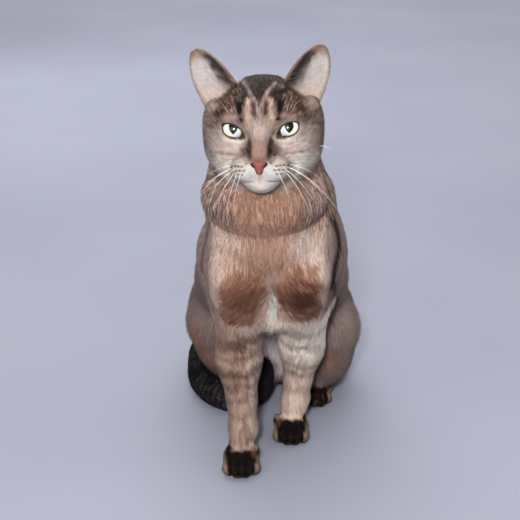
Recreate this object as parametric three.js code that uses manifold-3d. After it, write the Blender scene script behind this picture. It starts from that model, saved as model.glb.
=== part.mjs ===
// A short-haired house cat, sitting upright with its forepaws apart and its tail curled round its
// right side: a still, life-size model. Millimetres, +Z up, the cat faces -Y and its left is +X.
// The solids give the outline out to the tips of the coat, and stand on flats at z = 0.
import * as THREE from "three";
import { mergeVertices } from "three/addons/utils/BufferGeometryUtils.js";
import Module from "manifold-3d";

const wasm = await Module();
wasm.setup();

// ---------------------------------------------------------------- driving sizes
const GAP = 0.4; // the thin cut between two named parts
const HEAD_HEIGHT = 329.5; // the head's own centre above the floor
const HIP_SHIFT = 15; // the rump sits a little to the cat's left of its face
const CHEST_SHIFT = 8;
const HEAD_TURN = [-13, -1.8, -3.8]; // pitch, roll and yaw in degrees: the cat looks up a little
const HEAD_ASIDE = 2.6; // and how far its centre lies to the left of the middle
const EYE_RADIUS = 11;
const EYE_SPACING = 44; // between the centres of the eyeballs
const EAR_HEIGHT = 49; // from the buried root to the tip
const PAW_WIDTH = 36;
const TAIL_RADIUS = 17;
const TAIL_TIP_RADIUS = 14;
const TAIL_LENGTHS = 5; // the tail's parts, numbered from its root
const PLANT_HEIGHT = 2.5; // how high the parts that rest on the floor are squared off
const TAIL_FREE = 0.1; // the share of the tail's length that is sunk in the rump
const SIDES = [
  ["right", -1],
  ["left", 1],
];

const FUR = { tabby: 0x8c7a6e, warm: 0xa88a74, dark: 0x2a2422, black: 0x16151a };

const vec = (x, y, z) => new THREE.Vector3(x, y, z);
const radians = THREE.MathUtils.degToRad;
const turned = (degrees) =>
  new THREE.Matrix4().makeRotationFromEuler(new THREE.Euler(...degrees.map(radians)));

// ---------------------------------------------------------------- masses
// A mass is a function of a point that gives its distance outside the surface.

function ellipsoid(centre, radii, degrees = [0, 0, 0]) {
  const back = turned(degrees).invert();
  const middle = vec(...centre);
  const r = vec(...radii);
  return (p) => {
    const q = p.clone().sub(middle).applyMatrix4(back).divide(r);
    const unit = q.length();
    const slope = q.divide(r).length();
    return slope < 1e-9 ? -Math.min(...radii) : (unit * (unit - 1)) / slope;
  };
}

// A tapered limb between two points, with a radius at each.
function limb(from, to, fromRadius, toRadius) {
  const start = vec(...from);
  const along = vec(...to).sub(start);
  const lengthSquared = along.lengthSq();
  return (p) => {
    const q = p.clone().sub(start);
    const share = THREE.MathUtils.clamp(q.dot(along) / lengthSquared, 0, 1);
    return q.addScaledVector(along, -share).length() - THREE.MathUtils.lerp(fromRadius, toRadius, share);
  };
}

function softMin(a, b, soft) {
  const near = Math.max(soft - Math.abs(a - b), 0) / soft;
  return Math.min(a, b) - (near * near * soft) / 4;
}

const blend = (soft, ...masses) => (p) =>
  masses.map((mass) => mass(p)).reduce((a, b) => softMin(a, b, soft));
const carve = (soft, mass, tool) => (p) => -softMin(-mass(p), tool(p), soft);
const grown = (mass, by) => (p) => mass(p) - by;
// Below the planting height the outline goes straight down, so that the floor cuts it to a clean flat.
const planted = (mass) => (p) => mass(vec(p.x, p.y, Math.max(p.z, PLANT_HEIGHT)));

// ---------------------------------------------------------------- surfaces

// Wraps a mass in a closed net of quads: one vertex in each cell that the surface crosses, pulled
// onto the surface, and two triangles across each grid edge that it cuts.
function wrap(mass, low, high, step) {
  const cells = vec(...high).sub(vec(...low)).divide(vec(...step)).ceil();
  const [nx, ny, nz] = cells.toArray().map((n) => n + 1);
  const at = (i, j, k) => vec(low[0] + i * step[0], low[1] + j * step[1], low[2] + k * step[2]);
  const index = (i, j, k) => i + nx * (j + ny * k);
  const values = new Float64Array(nx * ny * nz);
  for (let k = 0; k < nz; k++)
    for (let j = 0; j < ny; j++)
      for (let i = 0; i < nx; i++) {
        const edge = !i || !j || !k || i === nx - 1 || j === ny - 1 || k === nz - 1;
        values[index(i, j, k)] = edge ? Math.max(1, mass(at(i, j, k))) : mass(at(i, j, k));
      }
  const corners = [0, 1].flatMap((c) => [0, 1].flatMap((b) => [0, 1].map((a) => [a, b, c])));
  const cellEdges = corners.flatMap((a, m) =>
    corners.slice(m + 1).flatMap((b) => (a.filter((v, axis) => v !== b[axis]).length === 1 ? [[a, b]] : [])),
  );
  const positions = [];
  const vertexOf = new Map();
  for (let k = 0; k < nz - 1; k++)
    for (let j = 0; j < ny - 1; j++)
      for (let i = 0; i < nx - 1; i++) {
        const sum = vec(0, 0, 0);
        let crossings = 0;
        for (const [a, b] of cellEdges) {
          const va = values[index(i + a[0], j + a[1], k + a[2])];
          const vb = values[index(i + b[0], j + b[1], k + b[2])];
          if (va < 0 === vb < 0) continue;
          sum.add(at(i + a[0], j + a[1], k + a[2]).lerp(at(i + b[0], j + b[1], k + b[2]), va / (va - vb)));
          crossings++;
        }
        if (!crossings) continue;
        vertexOf.set(index(i, j, k), positions.length / 3);
        positions.push(...settle(mass, sum.divideScalar(crossings), Math.min(...step) / 3).toArray());
      }
  const triangles = [];
  const faceAcross = (i, j, k, axis) => {
    const here = values[index(i, j, k)];
    const next = values[index(...[i, j, k].map((v, a) => v + (a === axis ? 1 : 0)))];
    if (here < 0 === next < 0) return;
    const [b, c] = [(axis + 1) % 3, (axis + 2) % 3];
    const ring = [[1, 1], [0, 1], [0, 0], [1, 0]].map(([db, dc]) => {
      const cell = [i, j, k];
      cell[b] -= db;
      cell[c] -= dc;
      return vertexOf.get(index(...cell));
    });
    if (here >= 0) ring.reverse();
    const place = (n) => vec(...positions.slice(3 * n, 3 * n + 3));
    const short = place(ring[0]).distanceTo(place(ring[2])) < place(ring[1]).distanceTo(place(ring[3]));
    const [p, q, r, s] = short ? ring : [ring[1], ring[2], ring[3], ring[0]];
    triangles.push(p, q, r, p, r, s);
  };
  for (let k = 0; k < nz - 1; k++)
    for (let j = 0; j < ny - 1; j++)
      for (let i = 0; i < nx - 1; i++)
        [0, 1, 2]
          .filter((axis) => [i, j, k].every((n, a) => a === axis || n > 0))
          .forEach((axis) => faceAcross(i, j, k, axis));
  return new THREE.BufferGeometry()
    .setAttribute("position", new THREE.Float32BufferAttribute(positions, 3))
    .setIndex(triangles);
}

// Moves a point along the slope of a mass until it lies on the surface, but no further than reach.
function settle(mass, point, reach) {
  const probe = 0.5;
  const start = point.clone();
  for (let turn = 0; turn < 3; turn++) {
    const here = mass(point);
    const slope = vec(
      mass(point.clone().add(vec(probe, 0, 0))) - here,
      mass(point.clone().add(vec(0, probe, 0))) - here,
      mass(point.clone().add(vec(0, 0, probe))) - here,
    ).divideScalar(probe);
    point.addScaledVector(slope, -here / Math.max(slope.lengthSq(), 0.1));
  }
  return start.add(point.sub(start).clampLength(0, reach));
}

// A closed body swept through rings: pointAt(share along, share round) gives its surface.
function sweep(rings, sides, pointAt) {
  const positions = [];
  const triangles = [];
  for (let r = 0; r <= rings; r++)
    for (let s = 0; s < sides; s++) positions.push(...pointAt(r / rings, s / sides).toArray());
  const ringCentre = (r) => {
    const sum = vec(0, 0, 0);
    for (let s = 0; s < sides; s++) sum.add(pointAt(r / rings, s / sides));
    return sum.divideScalar(sides);
  };
  positions.push(...ringCentre(0).toArray(), ...ringCentre(rings).toArray());
  const first = (rings + 1) * sides;
  for (let s = 0; s < sides; s++) {
    const next = (s + 1) % sides;
    triangles.push(first, next, s, first + 1, rings * sides + s, rings * sides + next);
    for (let r = 0; r < rings; r++) {
      const [a, b, c, d] = [r * sides + s, r * sides + next, (r + 1) * sides + next, (r + 1) * sides + s];
      triangles.push(a, b, c, a, c, d);
    }
  }
  return new THREE.BufferGeometry()
    .setAttribute("position", new THREE.Float32BufferAttribute(positions, 3))
    .setIndex(triangles);
}

// ---------------------------------------------------------------- joining and cutting

function solidOf(geometry, matrix = new THREE.Matrix4()) {
  const bare = geometry.clone().applyMatrix4(matrix);
  bare.deleteAttribute("normal");
  bare.deleteAttribute("uv");
  const merged = mergeVertices(bare, 1e-4);
  const made = new wasm.Manifold(
    new wasm.Mesh({
      numProp: 3,
      vertProperties: new Float32Array(merged.attributes.position.array),
      triVerts: new Uint32Array(merged.index.array),
    }),
  );
  if (made.volume() > 0) return made;
  const flipped = merged.index.array;
  for (let i = 0; i < flipped.length; i += 3) [flipped[i], flipped[i + 1]] = [flipped[i + 1], flipped[i]];
  return solidOf(merged);
}

function geometryOf(solid) {
  const { vertProperties, triVerts, numProp } = solid.getMesh();
  const positions = [];
  for (let i = 0; i < vertProperties.length; i += numProp) positions.push(...vertProperties.slice(i, i + 3));
  return new THREE.BufferGeometry()
    .setAttribute("position", new THREE.Float32BufferAttribute(positions, 3))
    .setIndex(Array.from(triVerts));
}

// Cuts a body back from its neighbours, so that a gap is left all round where they meet.
function clearOf(solid, ...neighbours) {
  const shifts = [vec(GAP, 0, 0), vec(0, GAP, 0), vec(0, 0, GAP)].flatMap((v) => [v, v.clone().negate()]);
  return neighbours.reduce(
    (body, other) => shifts.reduce((left, v) => left.subtract(other.translate(v.toArray())), body),
    solid,
  );
}

// The largest closed body of a cut solid, without the slivers that a cut may leave.
const mainBody = (solid) => solid.decompose().sort((a, b) => b.volume() - a.volume())[0];

// A block with its lowest corner at low and its highest at high, turned about a point.
function block(low, high, degrees = [0, 0, 0], about = [0, 0, 0]) {
  const size = vec(...high).sub(vec(...low));
  const box = new THREE.BoxGeometry(...size.toArray());
  const place = new THREE.Matrix4().setPosition(vec(...low).addScaledVector(size, 0.5));
  const turn = turned(degrees).setPosition(vec(...about));
  return solidOf(box, turn.multiply(place));
}

const REACH = 600;
// Everything above, or below, a plane through a point that rises towards the back by tilt degrees.
const above = (point, tilt) => block([-REACH, -REACH, GAP / 2], [REACH, REACH, REACH], [tilt, 0, 0], point);
const below = (point, tilt) => block([-REACH, -REACH, -REACH], [REACH, REACH, -GAP / 2], [tilt, 0, 0], point);

// ---------------------------------------------------------------- head

const HEAD_PLACE = turned(HEAD_TURN).setPosition(vec(HEAD_ASIDE, 0, HEAD_HEIGHT));
const intoHead = HEAD_PLACE.clone().invert();
const inHead = (mass) => (p) => mass(p.clone().applyMatrix4(intoHead));
const eyeCentre = (side) => [(side * EYE_SPACING) / 2, -25.5, -0.9];

function headMasses() {
  const paired = (make) => SIDES.map(([, side]) => make(side));
  const skull = blend(
    14,
    ellipsoid([0, 9, 5], [40, 43, 35]),
    ...paired((s) => ellipsoid([s * 29, 0, -15], [21, 31, 25])),
    ...paired((s) => ellipsoid([s * 31, 6, 6], [18.5, 27, 22])),
    ellipsoid([0, -16, 12], [29, 23, 22]),
    ellipsoid([0, -12, -30], [34, 34, 20]),
    ellipsoid([0, 2, 19], [33, 27, 18]),
  );
  const cheeks = blend(
    8,
    ...paired((s) => ellipsoid([s * 24, -27, -15], [15, 12, 10])),
    ...paired((s) => ellipsoid([s * 20, -26, 12], [14, 10, 8])),
  );
  const bridge = limb([0, -26, 2], [0, -57, -23.5], 11, 7.4);
  const muzzle = blend(
    6,
    ellipsoid([0, -38, -28], [22, 22, 16]),
    ...paired((s) => ellipsoid([s * 11, -50, -31], [13, 13, 10.5])),
    ellipsoid([0, -45, -41], [13, 14, 9.5]),
  );
  const lids = paired((s) => ellipsoid(eyeCentre(s), [EYE_RADIUS + 2.2, EYE_RADIUS + 1.4, EYE_RADIUS + 1.8]));
  // the head falls away in front of each ear, so that the ear's inside runs down to it
  const hollows = paired((s) => ellipsoid([s * 33.5, 3, 36.5], [15.5, 22, 17], [4, s * 35, 0]));
  const bare = hollows.reduce((mass, hollow) => carve(5, mass, hollow), blend(9, skull, cheeks, bridge, muzzle));
  return inHead(blend(6, bare, ...lids));
}

// The almond between the lids, as a prism along the line of sight. Its inner corner is the lower one.
function eyeOpening(side) {
  const [inner, outer] = [[-8.8, -5.4], [8.2, 5.4]];
  const almond = new THREE.Shape();
  almond.moveTo(...inner);
  almond.bezierCurveTo(-7.5, 2.8, -1.5, 7.6, ...outer);
  almond.bezierCurveTo(9.6, -1.5, 4.5, -6.8, ...inner);
  const prism = new THREE.ExtrudeGeometry(almond, { depth: 30, bevelEnabled: false, curveSegments: 6 });
  const frame = new THREE.Matrix4().makeBasis(vec(side, 0, 0), vec(0, 0, 1), vec(0, -side, 0));
  const sight = turned([0, 0, side * 4]).multiply(frame);
  const place = new THREE.Matrix4().setPosition(vec(...eyeCentre(side)));
  const forward = new THREE.Matrix4().makeTranslation(0, 0, side > 0 ? 2 : -32);
  return solidOf(prism, HEAD_PLACE.clone().multiply(place).multiply(sight).multiply(forward));
}

function eyeball(side, extra = 0) {
  const ball = new THREE.IcosahedronGeometry(EYE_RADIUS + extra, 2);
  return solidOf(ball, HEAD_PLACE.clone().multiply(new THREE.Matrix4().setPosition(vec(...eyeCentre(side)))));
}

const noseMass = inHead(
  blend(3, ellipsoid([0, -61.5, -25.5], [7, 5.4, 3.2]), ellipsoid([0, -62.5, -29.5], [3.2, 4, 4.2])),
);

// An ear is a scoop: an arc of a wall that opens forwards and outwards and narrows to a round tip.
function ear(side) {
  const root = vec(side * 30 - 1.2, 8, 20);
  const tip = vec(side * 52 - 1.8, 2, 65);
  const axis = tip.clone().sub(root).normalize();
  const facing = vec(side * 0.42, -0.9, 0.1);
  facing.addScaledVector(axis, -facing.dot(axis)).normalize();
  const across = axis.clone().cross(facing);
  const columns = 6;
  const wall = 2.2;
  const pointAt = (v, u) => {
    const halfWidth = 16.5 * Math.pow(1 - Math.pow(v, 2.6), 0.6) + 1.2;
    const bend = radians(THREE.MathUtils.lerp(95, 42, v));
    const radius = halfWidth / Math.sin(Math.min(bend, radians(90)));
    // u runs along the inner face from one edge to the other, then back along the outer face
    const [share, outer] = u < 0.5 ? [u * 2, 0] : [2 - u * 2, 1];
    const angle = THREE.MathUtils.lerp(-bend, bend, share);
    const edge = 1 - Math.pow(Math.abs(2 * share - 1), 6);
    const thick = outer * wall * (0.35 + 0.65 * edge) * (1 - 0.4 * v);
    return root
      .clone()
      .addScaledVector(axis, v * EAR_HEIGHT)
      .addScaledVector(across, (radius + thick) * Math.sin(angle))
      .addScaledVector(facing, radius * Math.cos(bend) * 0.6 - (radius * 0.6 + thick) * Math.cos(angle) + 4);
  };
  return solidOf(sweep(7, columns * 2, pointAt), HEAD_PLACE);
}

// ---------------------------------------------------------------- neck and trunk

const neckMass = blend(
  16,
  limb([CHEST_SHIFT - 2, 34, 258], [3, 14, 312], 57, 42),
  ellipsoid([3.5, -8, 270.2], [53.2, 40, 35.5]),
);

const shoulders = [
  ellipsoid([-22, 34, 209], [18.3, 42, 58], [20, 0, 0]),
  ellipsoid([51.5, 34, 216], [18.3, 42, 58], [20, 0, 0]),
];
const trunkMass = blend(
  22,
  ellipsoid([CHEST_SHIFT + 3, 42, 191], [69.5, 56, 73.5], [25, 0, 0]),
  ellipsoid([CHEST_SHIFT - 2, 4, 228], [44, 42, 44]),
  ellipsoid([CHEST_SHIFT, 58, 222], [44, 32, 46], [20, 0, 0]),
  ellipsoid([CHEST_SHIFT + 2, 21, 147], [16, 24, 21]),
  ellipsoid([11.5, 98, 140], [77, 61, 90], [38, 0, 0]),
  ellipsoid([HIP_SHIFT, 158, 88], [66, 59, 70]),
  ellipsoid([HIP_SHIFT, 170, 46], [58, 49, 49]),
  ellipsoid([HIP_SHIFT - 1, 118, 68], [50, 42, 56]),
);

// ---------------------------------------------------------------- legs

const foreleg = {
  right: { elbow: [-21, 32, 140], wrist: [-15.5, -10, 34], paw: [-17.8, -34, 0], turn: 3 },
  left: { elbow: [42, 38, 140], wrist: [35, 41, 34], paw: [30.5, 19, 0], turn: -3 },
};
const hindFoot = {
  right: { hock: [-31, 184, 18], paw: [-28, 117, 0], turn: -2 },
  left: { hock: [66, 178, 18], paw: [58, 85.5, 0], turn: 7 },
};

// The upper arm comes forward from the shoulder's point and runs down through the forearm to the heel.
const forelegs = SIDES.map(([name, s]) => {
  const { elbow, wrist } = foreleg[name];
  const heel = vec(0, 14, 15).applyMatrix4(pawFrame(foreleg[name])).toArray();
  const partWay = (share) => vec(...elbow).lerp(vec(...wrist), share).toArray();
  const forearm = partWay(0.45).map((v, axis) => (axis ? v : v + s * 1.4));
  return blend(
    14,
    limb([CHEST_SHIFT + s * 27, -8, 196], [CHEST_SHIFT + s * 31, 30, 150], 26, 23),
    limb([CHEST_SHIFT + s * 27, -4, 176], partWay(0.35), 22, 17),
    limb(elbow, forearm, 22, 18.3),
    limb(forearm, wrist, 18.3, 13.7),
    limb(wrist, heel, 11, 11),
  );
});
const torsoMass = blend(16, trunkMass, ...shoulders);

// The right thigh rides on the tail and lies a little higher than the left.
const thighs = [
  blend(
    14,
    ellipsoid([-36.6, 138.5, 76], [40, 51, 63], [6, 0, 0]),
    ellipsoid([-49, 100.5, 88.5], [26.5, 29, 32], [0, 0, 0]),
    limb([HIP_SHIFT - 55, 100, 58], [HIP_SHIFT - 46, 112, 23], 22.5, 14.5),
  ),
  blend(
    14,
    ellipsoid([65.8, 132.5, 65], [36, 57.5, 66], [6, 0, 0]),
    ellipsoid([75.3, 99, 83], [27, 29, 32], [0, 0, 0]),
    limb([HIP_SHIFT + 55, 100, 53], [HIP_SHIFT + 46, 112, 22], 22.5, 14.5),
  ),
];

// A paw's toes lie side by side, the middle two the longest. The sole dips below the floor plane,
// which cuts it to a flat. Toes are numbered from the inner side.
const TOES = [-1.5, -0.5, 0.5, 1.5];
function toe(number, width) {
  const pitch = width / 4.9;
  const middle = Math.abs(number) < 1;
  const tip = [number * pitch, middle ? -8.5 : -4.5, 8.6];
  return { knuckle: [number * pitch * 0.8, 7, 14], tip, radius: width / 4.75 };
}

function pawFrame({ paw, turn }) {
  return turned([0, 0, turn]).setPosition(vec(...paw));
}

function pawMass(place, width) {
  const into = place.clone().invert();
  const toes = TOES.map((n) => toe(n, width)).map(({ knuckle, tip, radius }) =>
    limb(knuckle, tip, radius * 0.95, radius),
  );
  const pads = blend(
    6,
    ellipsoid([0, 12, 10], [width * 0.46, 17, 11]),
    ellipsoid([0, 10, 8], [width * 0.42, 18, 9.5]),
  );
  const paw = blend(2.2, pads, blend(2, ...toes));
  return (p) => paw(p.clone().applyMatrix4(into));
}

const forePaws = SIDES.map(([name, s]) => {
  const frame = pawFrame(foreleg[name]);
  const dewclaw = vec(-s * 14, 8, 19).applyMatrix4(frame).toArray();
  return blend(4, pawMass(frame, PAW_WIDTH), ellipsoid(dewclaw, [4, 5.5, 7]));
});
const hindFeet = SIDES.map(([name]) => {
  const { hock, paw } = hindFoot[name];
  const sole = limb(hock, [paw[0], paw[1] + 14, 14], 16, 13.5);
  return blend(8, sole, pawMass(pawFrame(hindFoot[name]), PAW_WIDTH - 5));
});

// ---------------------------------------------------------------- tail

// The tail leaves the rump, lies along the floor round the right haunch, passes behind the forelegs
// and turns its tip up against the belly.
const tailPath = new THREE.CatmullRomCurve3(
  [
    vec(14, 192, 36),
    vec(6, 217, 26),
    vec(-20, 225, 16),
    vec(-46, 208, 14.5),
    vec(-61, 175, 14.5),
    vec(-63, 140, 14.4),
    vec(-59.5, 109, 14.2),
    vec(-45, 84, 14),
    vec(-23, 73, 14),
    vec(-5, 76, 20),
    vec(0, 80.5, 35),
    vec(-2, 85, 54),
  ],
  false,
  "centripetal",
);
const TAIL_STEPS = 60;
const tailTurns = tailPath.computeFrenetFrames(TAIL_STEPS, false);
const tailRadius = (share) => {
  const taper = THREE.MathUtils.lerp(TAIL_RADIUS, TAIL_TIP_RADIUS, share);
  const toTip = (1 - share) / 0.045;
  return toTip < 1 ? taper * Math.sqrt(Math.max(1 - (1 - toTip) ** 2, 0.02)) : taper;
};

function tailLength(from, to, extra = 0) {
  const pointAt = (v, u) => {
    const share = THREE.MathUtils.lerp(from, to, v);
    const ahead = tailPath.getTangentAt(share);
    const aside = tailTurns.normals[Math.round(share * TAIL_STEPS)].clone();
    aside.addScaledVector(ahead, -aside.dot(ahead)).normalize();
    const upwards = ahead.clone().cross(aside);
    const angle = 2 * Math.PI * u;
    const radius = tailRadius(share) + extra;
    return tailPath
      .getPointAt(share)
      .addScaledVector(aside, radius * Math.cos(angle))
      .addScaledVector(upwards, radius * Math.sin(angle));
  };
  return solidOf(sweep(Math.ceil(34 * (to - from)), 10, pointAt));
}

const tailSpine = Array.from({ length: TAIL_STEPS + 1 }, (_, n) => tailPath.getPointAt(n / TAIL_STEPS));
const tailMass = (p) =>
  tailSpine.reduce(
    (nearest, point, n) => Math.min(nearest, p.distanceTo(point) - tailRadius(n / TAIL_STEPS)),
    Infinity,
  );

// Room for the tail past its root, so that it lies beside the haunch and not in it.
const tailRoom = (p) => Math.max(tailMass(p) - 2, 40 - p.distanceTo(tailSpine[0]));

// ---------------------------------------------------------------- the whole, then its parts

const headAndNeck = blend(10, headMasses(), neckMass);
const foreBody = blend(12, neckMass, blend(12, torsoMass, ...forelegs));
const hindMasses = blend(12, neckMass, blend(14, torsoMass, ...thighs, ...hindFeet));
const hindBody = planted(carve(6, hindMasses, tailRoom));

const floor = block([-REACH, -REACH, 0], [REACH, REACH, REACH]);
const nape = [[4, 0, 305], 24];
const collar = [[CHEST_SHIFT, 10, 262], 20];
const elbowLine = [[0, 30, 130], -18];
const HIP = [HIP_SHIFT, 140, 0];
const ribLine = 62; // how far back the chest reaches

const parts = {};
const colours = {};
function add(name, solid, colour) {
  parts[name] = mainBody(solid);
  colours[name] = colour;
}

// A block on one side of the body, whose x runs outwards from inner to outer on that side.
function sideBlock(side, inner, outer, [y0, z0], [y1, z1], degrees, about) {
  const [x0, x1] = [side * inner, side * outer].sort((a, b) => a - b);
  return block([x0, y0, z0], [x1, y1, z1], degrees, about);
}

function buildHead() {
  const head = solidOf(wrap(headAndNeck, [-62, -84, 262], [66, 66, 392], [8.5, 8, 8.3]));
  let cut = head.intersect(above(...nape));
  for (const [name, side] of SIDES) {
    cut = cut.subtract(eyeball(side, GAP)).subtract(eyeOpening(side));
    add("eye_" + name, eyeball(side), 0xbfd3b4);
  }
  const nose = (extra) =>
    solidOf(wrap(grown(noseMass, extra), [-14, -78, 300], [12, -48, 336], [2.8, 2.8, 2.8]));
  add("nose", nose(0), 0xb4665a);
  cut = cut.subtract(nose(GAP));
  add("head", cut, FUR.tabby);
  for (const [name, side] of SIDES) add("ear_" + name, clearOf(ear(side), parts.head), FUR.warm);
}

function buildBody() {
  const upper = blend(12, headAndNeck, torsoMass);
  const neck = solidOf(wrap(upper, [-72, -64, 214], [82, 106, 346], [14, 14, 15]));
  add("neck", neck.intersect(below(...nape)).intersect(above(...collar)), FUR.warm);
  const ribs = (low, high) => block([-REACH, low, -REACH], [REACH, high, REACH]);
  const chest = solidOf(wrap(foreBody, [-76, -66, 96], [92, 90, 312], [14, 14, 15]));
  const lowered = chest.intersect(below(...collar)).intersect(above(...elbowLine));
  add("chest", lowered.intersect(ribs(-REACH, ribLine - GAP)), FUR.tabby);
  const body = solidOf(wrap(hindBody, [-92, 34, -14], [122, 250, 300], [17.5, 18, 18]));
  let rest = body.intersect(ribs(ribLine, REACH)).intersect(below(...collar)).intersect(floor);
  rest = rest.subtract(tailLength(TAIL_FREE, 1, GAP));
  for (const [name, side] of SIDES) {
    const ham = (gap) =>
      sideBlock(side, 42 - gap, 150, [-100, 24 - gap], [30, 160 + gap], [0, 0, side * 8], HIP);
    add("thigh_" + name, rest.intersect(ham(0)), FUR.tabby);
    rest = rest.subtract(ham(GAP)).subtract(footRoom(side, GAP));
  }
  add("trunk", rest, FUR.tabby);
}

// The space of one hind foot, under the haunch.
const footRoom = (side, gap) =>
  sideBlock(side, 18 - gap, 90, [-100, -20], [62 + gap, 24 - GAP + gap], [0, 0, 0], HIP);

// A whole leg's outline is cut at the elbow and the wrist.
function buildForelegs() {
  SIDES.forEach(([name, side], n) => {
    const leg = blend(5, forelegs[n], forePaws[n]);
    const whole = blend(12, torsoMass, leg);
    const middle = CHEST_SHIFT + 2;
    const x = side < 0 ? [-58, middle] : [middle, 84];
    const solid = solidOf(wrap(whole, [x[0] - 14, -60, 20], [x[1] + 14, 84, 168], [9.3, 9.5, 14.5]));
    const room = sideBlock(side, GAP, 80, [-REACH, -REACH], [ribLine, REACH], [0, 0, 0], [middle, 0, 0]);
    const wristLine = [[0, 0, 36], 0];
    add(
      "foreleg_" + name,
      solid.intersect(room).intersect(below(...elbowLine)).intersect(above(...wristLine)),
      FUR.warm,
    );
    const [px, py] = foreleg[name].paw;
    const paw = solidOf(wrap(planted(leg), [px - 24, py - 22, -6], [px + 24, py + 40, 48], [6.3, 6.2, 6.2]));
    add("forepaw_" + name, paw.intersect(below(...wristLine)).intersect(floor), FUR.dark);
  });
}

function buildHindFeet() {
  SIDES.forEach(([name, side], n) => {
    const { paw, hock } = hindFoot[name];
    const [low, high] = [Math.min(paw[0], hock[0]) - 26, Math.max(paw[0], hock[0]) + 26];
    const foot = planted(carve(3, blend(14, hindFeet[n], thighs[n]), tailRoom));
    const solid = solidOf(wrap(foot, [low, paw[1] - 22, -5], [high, 216, 44], [7, 9.2, 7.4]));
    const clear = solid.intersect(floor).subtract(tailLength(TAIL_FREE, 1, GAP));
    add("hindpaw_" + name, clear.intersect(footRoom(side, 0)), FUR.dark);
  });
}

function buildTail() {
  const slack = GAP / tailPath.getLength() / 2;
  for (let n = 0; n < TAIL_LENGTHS; n++) {
    const [from, to] = [n / TAIL_LENGTHS, (n + 1) / TAIL_LENGTHS];
    const length = tailLength(from + slack, to - (to < 1 ? slack : 0)).intersect(floor);
    add("tail_" + (n + 1), n ? length : clearOf(length, parts.trunk), FUR.black);
  }
}

buildHead();
buildBody();
buildForelegs();
buildHindFeet();
buildTail();

const cat = new THREE.Group();
for (const [name, solid] of Object.entries(parts)) {
  const material = new THREE.MeshStandardMaterial({ color: colours[name], roughness: 0.85, metalness: 0 });
  const mesh = new THREE.Mesh(geometryOf(solid), material);
  mesh.name = name;
  cat.add(mesh);
}

// The origin is the middle of the ground that the cat covers.
const size = new THREE.Box3().setFromObject(cat);
cat.position.set(-(size.min.x + size.max.x) / 2, -(size.min.y + size.max.y) / 2, 0);

export default cat;
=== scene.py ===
"""A short-haired house cat that sits upright, as a still life-size model.

One skin stands for the solids of flesh and lies inside them by the depth of the coat. On it grow
the tufts of the coat, and the eyes, lids, nose, whiskers and brow hairs are pieces of their own.
Shapes are worked out in millimetres in the cat's own frame: it faces -Y and its left is +X.
"""

import math
from contextlib import contextmanager

import bpy
import numpy as np
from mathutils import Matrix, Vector


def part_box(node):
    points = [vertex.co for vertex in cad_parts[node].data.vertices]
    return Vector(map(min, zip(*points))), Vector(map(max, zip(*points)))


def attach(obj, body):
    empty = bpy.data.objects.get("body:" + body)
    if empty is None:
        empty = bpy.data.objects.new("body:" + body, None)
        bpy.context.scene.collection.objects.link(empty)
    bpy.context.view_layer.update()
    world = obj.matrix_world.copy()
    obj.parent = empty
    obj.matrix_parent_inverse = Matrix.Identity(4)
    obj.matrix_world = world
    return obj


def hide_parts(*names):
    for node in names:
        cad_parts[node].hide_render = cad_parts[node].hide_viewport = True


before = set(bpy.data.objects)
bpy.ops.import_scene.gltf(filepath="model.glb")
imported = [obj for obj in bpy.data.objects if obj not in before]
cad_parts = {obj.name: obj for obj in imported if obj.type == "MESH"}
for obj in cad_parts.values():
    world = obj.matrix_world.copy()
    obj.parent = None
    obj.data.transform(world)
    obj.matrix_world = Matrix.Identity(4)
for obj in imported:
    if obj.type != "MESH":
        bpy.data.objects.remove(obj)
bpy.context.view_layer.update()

bl_info = {
    "name": "Sitting Cat",
    "version": (1, 0, 0),
    "blender": (4, 5, 0),
    "location": "View3D > Sidebar > Cat",
    "description": "Builds a short-haired cat with its coat round the packed solids",
    "category": "Object",
}

MM = 0.001
SIDES = (("right", -1), ("left", 1))
FLESH = (
    "head neck chest trunk thigh_right thigh_left foreleg_right foreleg_left"
    " forepaw_right forepaw_left hindpaw_right hindpaw_left"
).split()
TAIL = ["tail_%d" % n for n in range(1, 6)]
EARS = ["ear_right", "ear_left"]

# ---------------------------------------------------------------- masses, as the solids have them


def turned(degrees):
    """The turn about X, then Y, then Z, as a matrix for column vectors."""
    (a, b, c) = np.radians(degrees)
    about_x = np.array([[1, 0, 0], [0, math.cos(a), -math.sin(a)], [0, math.sin(a), math.cos(a)]])
    about_y = np.array([[math.cos(b), 0, math.sin(b)], [0, 1, 0], [-math.sin(b), 0, math.cos(b)]])
    about_z = np.array([[math.cos(c), -math.sin(c), 0], [math.sin(c), math.cos(c), 0], [0, 0, 1]])
    return about_x @ about_y @ about_z


def length_of(v):
    return np.sqrt(np.einsum("ij,ij->i", v, v))


def unit(v):
    return v / np.maximum(length_of(v), 1e-9)[:, None]


def ellipsoid(centre, radii, degrees=(0, 0, 0)):
    centre, radii, turn = np.array(centre, float), np.array(radii, float), turned(degrees)

    def mass(p):
        q = (p - centre) @ turn / radii
        far = length_of(q)
        return far * (far - 1) / np.maximum(length_of(q / radii), 1e-9)

    return mass


def limb(start, end, start_radius, end_radius):
    start, along = np.array(start, float), np.array(end, float) - np.array(start, float)

    def mass(p):
        q = p - start
        share = np.clip(q @ along / (along @ along), 0, 1)
        return length_of(q - share[:, None] * along) - (start_radius + (end_radius - start_radius) * share)

    return mass


def soft_min(a, b, soft):
    near = np.maximum(soft - np.abs(a - b), 0) / soft
    return np.minimum(a, b) - near * near * soft / 4


def blend(soft, *masses):
    def mass(p):
        value = masses[0](p)
        for other in masses[1:]:
            value = soft_min(value, other(p), soft)
        return value

    return mass


def carve(soft, mass, tool):
    return lambda p: -soft_min(-mass(p), tool(p), soft)


def placed(mass, turn, place):
    """A mass given in a frame of its own that is turned and then moved to a place."""
    place = np.array(place, float)
    return lambda p: mass((p - place) @ turn)


def paired(make):
    return [make(side) for _, side in SIDES]


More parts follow.
